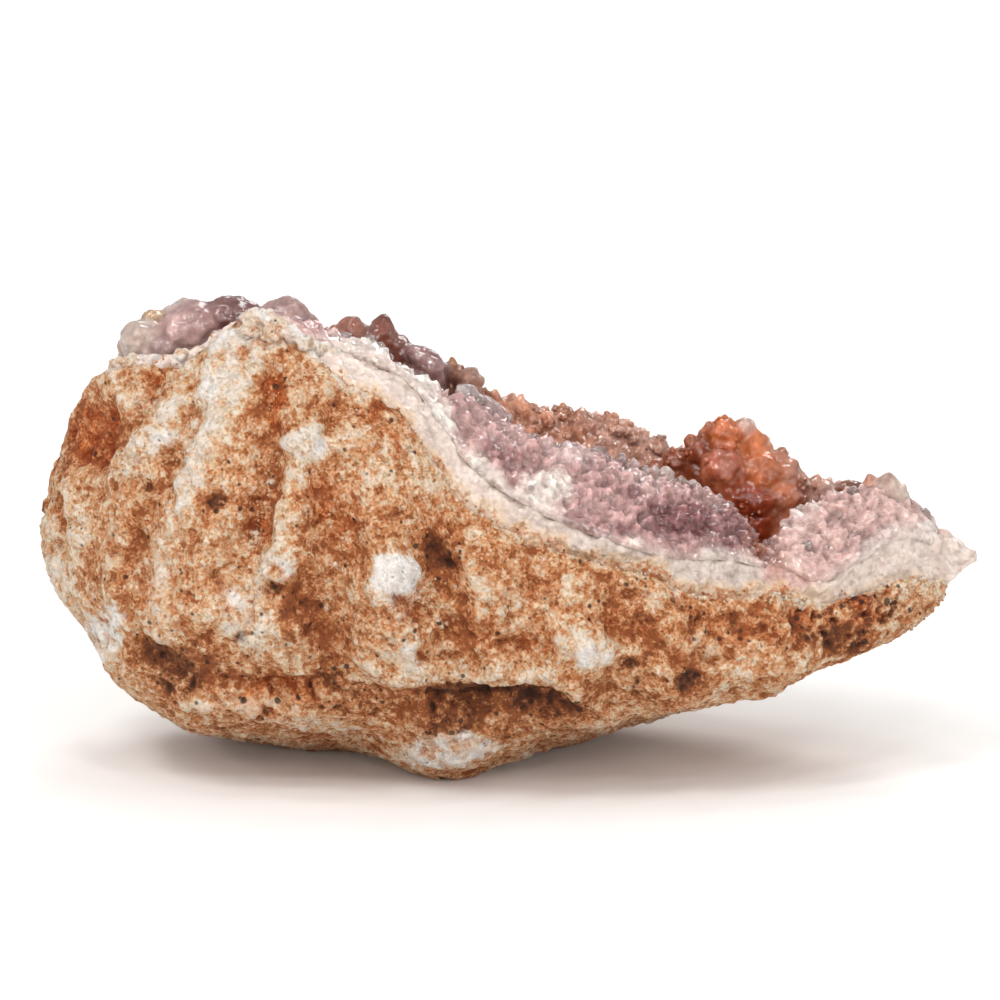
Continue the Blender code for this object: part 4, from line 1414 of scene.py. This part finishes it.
@dataclass
class Crumbs:
    """Sugary grains of the rock itself, loose-packed on its skin and along the band."""

    seed: int = 5
    radius: tuple[float, float] = (0.2, 0.62)
    on_rind: int = 6000
    on_band: int = 3600

    def build(self, rind: Object, band: Object, stone: Stone) -> None:
        """Scatters the crumbs.

        Args:
            rind: the finished rind.
            band: the finished band.
            stone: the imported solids, because more lie where rind and band meet.
        """
        rng = np.random.default_rng(self.seed)
        points = points_of(rind.data)
        weather = read(rind.data.attributes["weather"].data, "color", 4)[:, :3]
        rim = smooth_step(3.6, 0.8, stone.from_seam(points) + fractal(points, 4.0, 2, 3.0))
        share = 0.15 * smooth_step(0.6, 0.9, weather[:, 0]) + 3.0 * rim
        share *= (points[:, 2] > 1.5) & (weather[:, 2] < 0.3)
        one = self.seats(rind.data, share, 1 + 0.7 * rim, weather, self.on_rind, rng)
        points = points_of(band.data)
        share = smooth_step(1.9, 0.4, stone.distance(Solid.RIND, points)) * Band.bare(stone, points)
        share *= 1 - 0.6 * smooth_step(56, 64, points[:, 0])
        mixed = fractal(points, 2.0, 2, 12.0)
        chalk, rust = smooth_step(-0.1, 0.2, mixed) * 0.8, smooth_step(0.1, -0.2, mixed)
        chalky = np.column_stack([chalk, rust, 0 * mixed])
        other = self.seats(band.data, share, np.full(len(points), 1.0), chalky, self.on_band, rng)
        deselect()
        bpy.ops.mesh.primitive_ico_sphere_add(subdivisions=1, radius=1.0, enter_editmode=True)
        bpy.ops.transform.vertex_random(offset=0.25, seed=self.seed)
        pattern = bpy.context.object
        deselect()
        material = rind.data.materials[0]
        odd = np.arange(len(one)) % 2 == 1
        self.piece("rock_crumbs_1", one.pick(~odd), pattern, material, rng)
        self.piece("rock_crumbs_2", one.pick(odd), pattern, material, rng)
        self.piece("rim_crumbs", other, pattern, material, rng)
        bpy.data.objects.remove(pattern)

    def seats(self, mesh: Mesh, share: np.ndarray, growth: np.ndarray, weather: np.ndarray, count: int,
              rng: np.random.Generator) -> Seats:
        """Picks places for crumbs at a mesh's vertices.

        Args:
            mesh: what they lie on.
            share: how likely each vertex is.
            growth: how much larger they are at each vertex.
            weather: shares of chalk, rust and soot at each vertex, kept as the tint.
            count: how many.
            rng: the chance.

        Returns:
            The seats.
        """
        points, normals = points_of(mesh), normals_of(mesh)
        chosen = rng.choice(len(points), count, p=share / share.sum())
        radii = self.radius[0] + (self.radius[1] - self.radius[0]) * rng.beta(1.3, 4.0, count)
        radii *= growth[chosen]
        ways = rng.normal(0, 1, (count, 3))
        ways /= np.linalg.norm(ways, axis=1)[:, None]
        feet = points[chosen] - normals[chosen] * (radii * 0.35)[:, None] + rng.normal(0, 0.12, (count, 3))
        return Seats(feet, ways, radii, radii * rng.uniform(0.7, 1.1, count), np.clip(weather[chosen], 0, 1))

    @staticmethod
    def piece(name: str, seats: Seats, pattern: Object, material: Material,
              rng: np.random.Generator) -> None:
        """Makes one joined mesh of crumbs in the rock's own material.

        Args:
            name: the piece's name.
            seats: where the crumbs lie.
            pattern: one crumb.
            material: the rock.
            rng: the chance.
        """
        obj = grow(name, seats, [pattern], 3, 0.08)
        store(obj.data, "weather", read(obj.data.attributes["tint"].data, "color", 4)[:, :3])
        corners_each = len(pattern.data.vertices)
        store(obj.data, "relief", np.repeat(rng.normal(0.1, 0.35, len(seats)), corners_each))
        hand_over(obj, material, "rind")


@dataclass
class Druse:
    """The single small crystals: clear ones along the crest, iron-stained ones in the hollow."""

    seed: int = 7
    tries: int = 9000
    closeness: float = 1.9  # distance between neighbours, in radii
    radius: tuple[float, float] = (0.6, 1.7)
    hollow_growth: float = 1.15
    height: tuple[float, float] = (1.0, 1.6)  # in radii
    tilt: float = 0.38
    sunk: float = 0.4  # share of the height under the surface
    clear_share: float = 0.02
    crest_reach: float = 1.1  # how near the crest all points are clear
    stained_below: float = 0.42  # blue over red, under which a tint counts as stained
    growth_shade: float = 1.12  # how much paler the small crystals on a group are than the group
    search_cell: float = 2.4  # the side of the boxes in which neighbours are looked for
    patterns: list[Object] = field(default_factory=list)

    def build(self, crust: Object, stone: Stone, groups: Sequence[Object]) -> None:
        """Grows all small crystals.

        Args:
            crust: the sheet that they stand on.
            stone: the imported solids.
            groups: large crystals that carry some small ones too.
        """
        self.patterns = [model_crystal(habit, lean) for habit in Habit for lean in (0.0, 0.16)]
        on_crust = self.seats(crust, lambda p: stone.distance(Solid.BAND, p) > 0.5, self.radius)
        rng = np.random.default_rng(self.seed + 1)
        stained = on_crust.tints[:, 2] < on_crust.tints[:, 0] * self.stained_below
        crest = np.abs(on_crust.feet[:, 1] - TINTS.crest_at(on_crust.feet[:, 0])) < self.crest_reach
        clear = ~stained & (rng.random(len(on_crust)) < np.where(crest, 1.0, self.clear_share))
        on_crust.tints[clear] = 0.4 * on_crust.tints[clear] + 0.6 * linear("#FFF6F2")
        self.piece("clear_points", on_crust.pick(clear), CLEAR_POINTS, "amethyst")
        rusty = on_crust.pick(stained & (rng.random(len(on_crust)) < 0.5))
        self.piece("stained_points", rusty, STAINED_POINTS, "stained_quartz")
        for group in groups:
            on_group = self.seats(group, lambda p: fractal(p, 5.0, 2, 15.0) > 0.4, (0.4, 1.0))
            found = group.data.attributes["tint"].data
            tree = Stone.tree(group.data)
            faces = [group.data.polygons[tree.find_nearest(Vector(p))[2]] for p in on_group.feet]
            under = np.array([found[face.vertices[0]].color[:3] for face in faces])
            on_group.tints = np.clip(under * self.growth_shade, 0, 1)
            self.piece(f"{group.name}_growth", on_group, STAINED_POINTS, "stained_quartz")
        for pattern in self.patterns:
            bpy.data.objects.remove(pattern)

    def piece(self, name: str, seats: Seats, finish: Crystal, slot: str) -> None:
        """Grows one joined piece and hands it over.

        Args:
            name: the piece's name.
            seats: where its crystals stand.
            finish: their material.
            slot: the record's material slot.
        """
        obj = grow(name, seats, self.patterns, self.seed + len(name), 0.06)
        hand_over(obj, finish.material(), slot)

    def seats(self, carrier: Object, allowed: Callable[[np.ndarray], np.ndarray],
              radius: tuple[float, float]) -> Seats:
        """Picks seats all over a surface, none too near another.

        Args:
            carrier: the piece they stand on.
            allowed: tells which points may hold one.
            radius: the smallest and largest radius.

        Returns:
            The seats.
        """
        rng = np.random.default_rng(self.seed)
        feet, ways = self.sampled(carrier.data, rng)
        keep = allowed(feet)
        feet, ways = feet[keep], ways[keep]
        radii = radius[0] + (radius[1] - radius[0]) * rng.beta(1.3, 2.8, len(feet))
        radii *= np.where(feet[:, 1] > -4, self.hollow_growth, 1.0)
        kept = self.spaced(feet, radii)
        feet, ways, radii = feet[kept], ways[kept], radii[kept]
        tints = TINTS.at(feet, ways) * rng.uniform(0.96, 1.06, (len(feet), 1))
        ways = ways + rng.normal(0, self.tilt, ways.shape)
        ways /= np.linalg.norm(ways, axis=1)[:, None]
        heights = radii * rng.uniform(*self.height, len(feet))
        return Seats(feet - ways * (heights * self.sunk)[:, None], ways, radii, heights, np.clip(tints, 0, 1))

    def sampled(self, mesh: Mesh, rng: np.random.Generator) -> tuple[np.ndarray, np.ndarray]:
        """Points spread evenly over a mesh's faces.

        Args:
            mesh: the mesh.
            rng: the chance.

        Returns:
            The points in millimetres and their faces' normals, (N, 3) each.
        """
        areas = read(mesh.polygons, "area", 1)[:, 0]
        chosen = rng.choice(len(areas), self.tries, p=areas / areas.sum())
        spread = np.sqrt(areas[chosen])[:, None] / MM
        points = read(mesh.polygons, "center")[chosen] / MM + rng.uniform(-0.5, 0.5, (self.tries, 3)) * spread
        return points, read(mesh.polygons, "normal")[chosen]

    def spaced(self, feet: np.ndarray, radii: np.ndarray) -> list[int]:
        """Drops each seat in turn that stands too near a kept one.

        Args:
            feet: (N, 3) in millimetres.
            radii: (N,) in millimetres.

        Returns:
            The numbers of the kept seats.
        """
        grid: dict[tuple[int, int, int], list[int]] = {}
        kept = []
        for index, foot in enumerate(feet):
            key = tuple((foot // self.search_cell).astype(int))
            near = [
                other
                for dx in (-1, 0, 1) for dy in (-1, 0, 1) for dz in (-1, 0, 1)
                for other in grid.get((key[0] + dx, key[1] + dy, key[2] + dz), ())
            ]
            gap = self.closeness * radii[index]
            away = [feet[other] - foot for other in near]
            if all(np.abs(way).sum() > gap * 1.2 or np.linalg.norm(way) > gap for way in away):
                kept.append(index)
                grid.setdefault(key, []).append(index)
        return kept


@dataclass(frozen=True)
class Lump:
    """One large crystal, rounded by its own growth.

    Attributes:
        across: its middle on the front, to the right.
        up: its middle on the front, upwards.
        y: its middle's depth, or None to sit on what shows there.
        reach: half its width, half its depth and half its height.
        turn: degrees that it leans to the left in the front view.
        tint: its colour.
        facets: how strongly flat faces cut it, from 0 to 1.
    """

    across: float
    up: float
    y: float | None
    reach: tuple[float, float, float]
    turn: float
    tint: str
    facets: float = 0.5


@dataclass
class LumpGroup:
    """Large crystals grown into one another, as one skin.

    Attributes:
        name: the piece's name.
        lumps: the crystals.
        finish: their material.
        slot: the record's material slot.
        node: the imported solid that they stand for, or None.
        seed: fixes the chance in them.
        bumps: how high and how wide the knobs on their skin are, and how far it ripples, in millimetres.
        cell: the size of the skin's faces, in millimetres.
    """

    name: str
    lumps: Sequence[Lump]
    finish: Crystal | WeatheredRock
    slot: str
    node: str | None
    seed: int
    bumps: tuple[float, float, float] = (0.25, 2.6, 0.25)
    cell: float = 0.42

    def build(self, stone: Stone) -> Object:
        """Makes the group.

        Args:
            stone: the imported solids, on which lumps with no depth of their own sit.

        Returns:
            The piece.
        """
        rng = np.random.default_rng(self.seed)
        grown = [(lump, self.middle(lump, stone)) for lump in self.lumps]
        grown += [root for lump, middle in grown for root in self.root(lump, middle, stone)]
        parts = [self.model(lump, middle, rng) for lump, middle in grown]
        deselect()
        for part in parts:
            part.select_set(True)
        bpy.context.view_layer.objects.active = parts[0]
        bpy.ops.object.join()
        obj = bpy.context.object
        obj.name = obj.data.name = self.name
        apply_modifier(obj, "REMESH", mode="VOXEL", voxel_size=self.cell * MM)
        points, normals = points_of(obj.data), normals_of(obj.data)
        height, size, ripple = self.bumps
        rise = height * (cells(points, size, 3.0) - 0.5) + ripple * fractal(points, size * 0.8, 3, 7.0)
        move_to(obj.data, points + normals * rise[:, None])
        tint = self.tint(points, grown)
        # random clouds inside, and painted light on the tops of the skin's bumps with painted shade in the
        # grooves between them
        clouds = 1 + 0.22 * fractal(points, 3.5, 4, 4.0) + 0.12 * rise / (height + ripple)
        store(obj.data, "tint", np.clip(tint * clouds[:, None], 0, 1))
        if isinstance(self.finish, WeatheredRock):
            patch = fractal(points, 4.0, 3, 21.0)
            shares = [0.75 - 0.4 * patch, 0.5 * smooth_step(0.1, 0.5, patch), 0 * patch]
            store(obj.data, "weather", np.column_stack(shares))
            # the relief paints the nodules' low places darker, as painted shade
            store(obj.data, "relief", rise / (height + ripple))
        hand_over(obj, self.finish.material(), self.slot, *([self.node] if self.node else []))
        return obj

    def model(self, lump: Lump, middle: np.ndarray, rng: np.random.Generator) -> Object:
        """Models one lump: a ball, swelled by noise and cut flat on some sides.

        Args:
            lump: the crystal.
            middle: its middle, in millimetres.
            rng: the chance.

        Returns:
            The lump by itself.
        """
        deselect()
        bpy.ops.mesh.primitive_ico_sphere_add(subdivisions=4, radius=1.0)
        obj = bpy.context.object
        shape = points_of(obj.data) * MM
        shape *= 1 + 0.16 * fractal(shape, 0.9, 2, rng.uniform(0, 50))[:, None]
        move_to(obj.data, shape / MM)
        work_on(obj, "EDIT")
        self.cut_faces(lump, rng)
        deselect()
        points = points_of(obj.data) * MM * np.array(lump.reach)
        move_to(obj.data, points @ self.lean(lump).T + middle)
        return obj

    @staticmethod
    def root(lump: Lump, middle: np.ndarray, stone: Stone) -> list[tuple[Lump, np.ndarray]]:
        """The crystal's long body, from its head down to the stone, if there is open space under it.

        Args:
            lump: the crystal's head.
            middle: its middle, in millimetres.
            stone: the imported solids.

        Returns:
            The upright lumps that make the body, each with its middle.
        """
        drop = stone.drop(middle) if lump.y is not None else 0.0
        if drop < 0.6 * lump.reach[2]:
            return []
        across, deep, high = lump.reach
        bodies = []
        for share in (0.2, 0.5):
            reach = (0.95 * across, 0.95 * deep, share * drop + 0.8 * high)
            bodies.append((replace(lump, reach=reach, turn=0, facets=0.8), middle - (0, 0, share * drop)))
        return bodies

    def tint(self, points: np.ndarray, grown: Sequence[tuple[Lump, np.ndarray]]) -> np.ndarray:
        """The skin's colours: each lump's own, going over softly to the next.

        Args:
            points: (N, 3) in millimetres.
            grown: the lumps and their middles.

        Returns:
            (N, 3) linear colours.
        """
        reach = np.stack([
            np.linalg.norm((points - middle) @ self.lean(lump) / np.array(lump.reach), axis=1)
            for lump, middle in grown
        ])
        weight = np.exp(-9 * (reach - reach.min(axis=0)))
        colours = np.array([linear(lump.tint) for lump, _ in grown])
        return np.einsum("ln,lc->nc", weight, colours) / weight.sum(axis=0)[:, None]

    @staticmethod
    def lean(lump: Lump) -> np.ndarray:
        """The lump's rotation in the front view."""
        return np.array(Matrix.Rotation(-math.radians(lump.turn), 3, "Y"))

    @staticmethod
    def cut_faces(lump: Lump, rng: np.random.Generator) -> None:
        """Cuts six steep side faces and the tip's faces off the ball, as a quartz crystal has them.

        Args:
            lump: the crystal, whose ball is in edit mode.
            rng: the chance.
        """
        spin = rng.uniform(0, math.pi / 3)
        for k in range(6):
            angle = spin + k * math.pi / 3
            for rise, depth in ((0.0, 0.84), (0.9, 0.74)):
                way = Vector((math.cos(angle), math.sin(angle), rise)).normalized()
                reach = 1 - (1 - depth + rng.uniform(-0.08, 0.1)) * lump.facets
                bpy.ops.mesh.select_all(action="SELECT")
                bpy.ops.mesh.bisect(
                    plane_co=way * reach, plane_no=way, use_fill=True, clear_outer=True, threshold=0.0001
                )

    @staticmethod
    def middle(lump: Lump, stone: Stone) -> np.ndarray:
        """The lump's middle in the stone's frame.

        Args:
            lump: the crystal.
            stone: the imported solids, on which it sits if it has no depth of its own.

        Returns:
            (x, y, z) in millimetres.
        """
        if lump.y is not None:
            return VIEW.place(lump.across, lump.up, lump.y)
        for lower in np.arange(0, 6, 0.4):  # just over an edge nothing shows, so a little lower is tried
            met = stone.facing(lump.across, lump.up - lower, *LAYERS)
            if met is not None:
                return met[0] - met[1] * lump.reach[1] * 0.3
        raise ValueError(f"nothing shows at {lump.across}, {lump.up}")


LILAC, MAUVE, GREY_LILAC, PALE = "#DDB6B0", "#946460", "#EAD6C8", "#F2E2DC"
SMOKE, ROSE, AMBER, SALMON, ORANGE, RUSSET = "#A46452", "#C48470", "#D29A6A", "#CA7250", "#EA8852", "#A85634"

LEFT_LUMPS = (
    Lump(-62.6, 35.2, -8.0, (7.6, 6.5, 4.9), 20, LILAC, 0.25),
    Lump(-57.0, 30.5, -9.0, (5.5, 5.0, 4.6), 30, MAUVE, 0.3),
    Lump(-64.0, 38.6, -4.0, (4.6, 4.0, 2.3), 10, GREY_LILAC, 0.4),
    Lump(-54.7, 38.0, -7.0, (7.0, 6.5, 3.6), -4, MAUVE, 0.5),
    Lump(-43.5, 36.0, -10.0, (6.4, 6.5, 5.4), -10, "#D0ACA6", 0.7),
    Lump(-38.0, 33.0, -12.5, (4.0, 5.0, 3.2), -35, MAUVE, 0.8),
    Lump(-73.2, 33.2, -8.0, (4.3, 4.5, 3.6), 25, GREY_LILAC, 0.3),
    Lump(-70.6, 37.0, -4.0, (2.4, 2.4, 1.9), 20, "#DDB98E", 0.5),
    Lump(-75.8, 31.0, -6.0, (2.2, 3.0, 2.4), 40, "#C8A47E", 0.3),
    Lump(-67.5, 31.0, -11.0, (4.0, 3.4, 2.6), -10, "#CDB0AA", 0.3),
    Lump(-34.5, 33.2, -14.0, (2.0, 2.0, 1.8), 0, ROSE, 0.6),
)
RIM_LUMPS = tuple(
    Lump(across, up, None, reach, turn, "#FFFFFF", 0.2)
    for across, up, reach, turn in (
        (-78.0, 28.4, (2.0, 2.2, 1.5), 20), (-75.0, 29.6, (2.2, 2.4, 1.6), 10),
        (-71.8, 29.8, (2.4, 2.6, 1.7), 0), (-68.2, 29.0, (2.2, 2.4, 1.6), 0),
        (-64.8, 28.6, (2.0, 2.2, 1.6), 0), (-61.4, 30.6, (2.2, 2.2, 1.7), 35),
        (-58.6, 33.2, (2.4, 2.4, 1.9), 40), (-55.8, 35.6, (2.4, 2.6, 1.9), 40),
        (-53.0, 37.2, (2.5, 2.6, 1.8), 25), (-50.2, 38.0, (2.5, 2.6, 1.7), 0),
        (-47.2, 37.2, (2.4, 2.6, 1.8), -25), (-44.6, 35.6, (2.4, 2.6, 1.9), -40),
        (-42.0, 33.9, (2.2, 2.4, 1.9), -40), (-39.4, 32.3, (2.0, 2.2, 1.7), -35),
        (-36.8, 31.2, (2.0, 2.2, 1.6), -20), (-34.0, 30.6, (2.0, 2.2, 1.3), -20),
        (-56.0, 31.6, (2.0, 2.4, 1.6), 30), (-51.5, 34.6, (2.4, 2.6, 1.6), 0),
        (-46.5, 34.0, (2.2, 2.6, 1.6), -20),
    )
)
BEHIND_LUMPS = (
    Lump(-30.3, 34.2, 26.0, (3.4, 3.6, 3.4), 0, ROSE, 0.4),
    Lump(-33.2, 33.6, 25.0, (2.2, 2.6, 2.4), 20, ROSE, 0.5),
    Lump(-24.2, 33.6, 27.0, (3.9, 4.0, 4.9), -6, SMOKE, 0.9),
    Lump(-27.0, 32.8, 26.0, (2.6, 3.0, 3.4), 15, "#B88A7A", 0.8),
    Lump(-20.5, 31.2, 27.0, (2.6, 3.2, 2.6), -30, SMOKE, 0.7),
    Lump(-15.0, 28.2, 25.0, (5.6, 6.0, 2.8), -32, "#BC9490", 0.7),
    Lump(-9.8, 27.2, 27.0, (1.2, 1.4, 2.0), 0, AMBER, 0.4),
    Lump(-6.3, 24.2, 26.5, (3.1, 3.6, 2.9), -10, "#D0A08A", 0.3),
)
CREST_LUMPS = (
    Lump(-6.5, 21.9, -20.0, (3.0, 2.6, 1.8), -20, PALE, 0.9),
    Lump(-4.1, 17.5, -20.0, (6.2, 4.6, 3.9), -18, "#EACBC8", 0.35),
    Lump(-9.0, 18.6, -21.5, (2.4, 2.4, 2.2), 10, "#D9C6C2", 0.5),
    Lump(33.7, 5.2, -17.0, (1.8, 1.8, 1.7), 0, "#F4E4DA", 0.25),
    Lump(29.6, 5.8, -17.5, (1.2, 1.2, 1.2), 0, "#F6E6DE", 0.6),
    Lump(36.8, 4.0, -16.5, (1.2, 1.3, 1.0), 0, "#E8D4C8", 0.7),
    Lump(24.6, 8.2, -20.0, (1.4, 1.3, 1.4), 0, "#EAD2CC", 0.6),
    Lump(27.2, 7.2, -19.2, (1.4, 1.4, 1.4), 10, "#E6CCC8", 0.7),
    Lump(31.5, 5.8, -18.2, (1.2, 1.1, 1.3), 0, "#F0DCD4", 0.6),
    Lump(39.2, 3.0, -16.8, (1.3, 1.2, 1.3), -10, "#E2CCC8", 0.6),
    Lump(41.7, 1.6, -16.2, (1.4, 1.3, 1.4), -20, "#E6D0CC", 0.7),
    Lump(44.2, -0.2, -15.8, (1.3, 1.3, 1.5), -30, "#DEC4C2", 0.6),
    Lump(46.6, -2.5, -15.5, (1.3, 1.3, 1.6), -30, "#D6BAB8", 0.7),
    Lump(20.3, 9.6, -19.0, (2.2, 2.0, 1.5), -35, "#E6CFCB", 0.9),
    Lump(49.0, -5.5, -15.5, (1.6, 1.6, 2.4), 10, "#DACACA", 0.8),
    Lump(14.5, 10.0, -19.0, (2.4, 2.2, 1.8), -10, "#E0C6C2", 0.6),
    Lump(78.4, 2.2, -6.0, (3.9, 3.2, 3.4), -10, "#FFDCCB", 0.8),
    Lump(75.4, 2.9, -5.5, (2.3, 2.4, 2.6), 15, "#F8BCA0", 0.8),
    Lump(81.4, 0.9, -6.5, (2.2, 2.4, 2.6), -20, "#FFE2D2", 0.8),
    Lump(79.2, -0.8, -7.0, (2.6, 2.4, 2.2), 0, "#FFDED0", 0.7),
    Lump(71.0, 2.4, 0.5, (3.8, 2.8, 1.7), 3, "#B87C66", 0.5),
    Lump(66.8, 1.4, 0.0, (2.2, 2.2, 1.5), 10, "#D8A493", 0.6),
)
CLUSTER_LUMPS = (
    Lump(45.8, 12.8, 6.0, (4.2, 4.2, 4.2), 0, ORANGE, 0.45),
    Lump(49.8, 14.8, 7.0, (2.4, 2.6, 2.3), 20, "#F0CFC2", 0.5),
    Lump(42.4, 13.4, 6.5, (2.2, 2.2, 2.4), 15, "#E0885C", 0.5),
    Lump(51.6, 9.6, 6.0, (4.0, 4.2, 4.6), -15, "#EE8E56", 0.4),
    Lump(45.2, 5.8, 1.0, (5.2, 4.6, 5.2), 0, SALMON, 0.3),
    Lump(53.2, 5.2, 2.0, (4.8, 4.0, 4.6), 0, "#DC8250", 0.4),
    Lump(58.2, 5.2, 4.0, (4.4, 3.8, 3.4), -25, "#DC9E84", 0.4),
    Lump(56.5, 8.0, 5.0, (2.6, 2.8, 2.6), -25, "#DE9A78", 0.4),
    Lump(61.0, 3.4, 5.5, (2.4, 2.6, 2.0), -25, "#E2A890", 0.4),
    Lump(40.4, 9.8, 6.0, (3.0, 3.2, 3.0), 20, RUSSET, 0.4),
    Lump(38.9, 11.8, 6.5, (1.5, 1.8, 1.9), 10, "#D07C54", 0.5),
    Lump(36.0, 8.4, 7.0, (3.4, 3.0, 2.2), 10, "#C67250", 0.4),
    Lump(50.8, -0.2, 0.0, (5.6, 4.2, 3.8), 0, "#B04A24", 0.3),
    Lump(57.6, 0.6, 1.0, (4.4, 3.6, 3.4), -20, "#D88864", 0.4),
    Lump(32.5, 6.6, 9.0, (3.2, 2.8, 1.8), 10, "#BE6E4C", 0.4),
)


GROUPS = (  # the cluster comes last, because small crystals grow on it
    LumpGroup("left_crystals", LEFT_LUMPS, PALE_AMETHYST, "pale_amethyst", Solid.LEFT.value, 11,
              (0.05, 3.6, 0.55)),
    LumpGroup("rim_nodules", RIM_LUMPS, WeatheredRock(), "rind", None, 15, (0.7, 1.7, 0.3), 0.36),
    LumpGroup("smoky_crystals", BEHIND_LUMPS, SMOKY_AMETHYST, "smoky_amethyst", Solid.SMOKY.value, 12),
    LumpGroup("crest_crystals", CREST_LUMPS, CLEAR_AMETHYST, "amethyst", None, 13, (0.15, 1.6, 0.1), 0.3),
    LumpGroup("stained_cluster", CLUSTER_LUMPS, STAINED_QUARTZ, "stained_quartz", Solid.STAINED.value, 14,
              (0.5, 2.5, 0.25)),
)


@dataclass
class Studio:
    """A plain pale floor and soft studio light."""

    floor_size: float = 9.0
    floor_colour: str = "#F6F5F3"
    sky: float = 0.54
    glint_size: float = 0.1
    glint_power: float = 0.56
    glints: Rows = (  # small lamps, in metres, that the crystals' faces catch
        (-0.35, -0.7, 0.7), (0.4, -0.75, 0.65), (0.05, -0.6, 0.95), (-0.8, -0.5, 0.6), (0.75, -0.3, 0.85),
        (-0.1, -0.9, 0.5), (0.1, -0.8, 0.75), (-0.6, -0.2, 0.95), (0.3, -0.4, 1.0), (0.0, 0.1, 1.1),
        (-0.5, -0.9, 0.35), (0.6, -0.85, 0.4), (0.2, -0.95, 0.3), (-0.2, -0.35, 1.1),
    )

    def build(self) -> None:
        """Makes the floor, the sky and the lamps."""
        deselect()
        bpy.ops.mesh.primitive_plane_add(size=self.floor_size)
        floor = bpy.context.object
        floor.name = "studio_floor"
        # Matt paper: no gloss at all, so that only the soft shadow shows on it.
        paper = {"Base Color": rgba(self.floor_colour), "Roughness": 1.0, "Specular IOR Level": 0.0}
        floor.data.materials.append(new_material("matt_white_paper", paper)[0])
        world = bpy.data.worlds.new("studio")
        world.use_nodes = True
        world.node_tree.nodes["Background"].inputs["Color"].default_value = rgba("#FFFFFF")
        world.node_tree.nodes["Background"].inputs["Strength"].default_value = self.sky
        bpy.context.scene.world = world
        bpy.context.scene.view_settings.view_transform = "Standard"
        self.lamp("key_softbox", (-0.5, -0.6, 1.05), 0.3, 3.7)
        self.lamp("fill_softbox", (0.85, -0.7, 0.5), 0.3, 1.0)
        self.lamp("low_fill", (-0.1, -0.9, 0.12), 0.4, 0.8)
        self.lamp("back_softbox", (0.25, 0.8, 0.8), 0.5, 4.0)
        self.lamp("floor_wash", (0.0, 2.6, 1.5), 1.6, 60.0, (0.0, 3.4, 0.0))
        for number, place in enumerate(self.glints):
            self.lamp(f"glint_{number}", place, self.glint_size, self.glint_power)

    @staticmethod
    def lamp(name: str, place: tuple[float, float, float], size: float, power: float,
             aim: tuple[float, float, float] = (0, 0, 0.05)) -> None:
        """Adds a square lamp.

        Args:
            name: the lamp's name.
            place: where it hangs, in metres.
            size: its side, in metres.
            power: in watts.
            aim: where it points, the stone's middle if not told otherwise.
        """
        data = bpy.data.lights.new(name, "AREA")
        data.size, data.energy = size, power
        obj = bpy.data.objects.new(name, data)
        bpy.context.scene.collection.objects.link(obj)
        obj.location = place
        way = Vector(aim) - Vector(place)
        obj.rotation_euler = way.to_track_quat("-Z", "Y").to_euler()


def main() -> None:
    """Builds the stone's pieces in order, then the studio."""
    logging.basicConfig(level=logging.INFO, format="%(name)s %(message)s")
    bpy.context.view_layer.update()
    VIEW.camera()
    stone = Stone()
    rind = Rind().build(stone)
    band = Band().build(stone)
    Crumbs().build(rind, band, stone)
    crust = Crust().build(stone)
    for group in GROUPS:
        piece = group.build(stone)
    Druse().build(crust, stone, [piece])
    Studio().build()


if __name__ == "__main__":
    main()
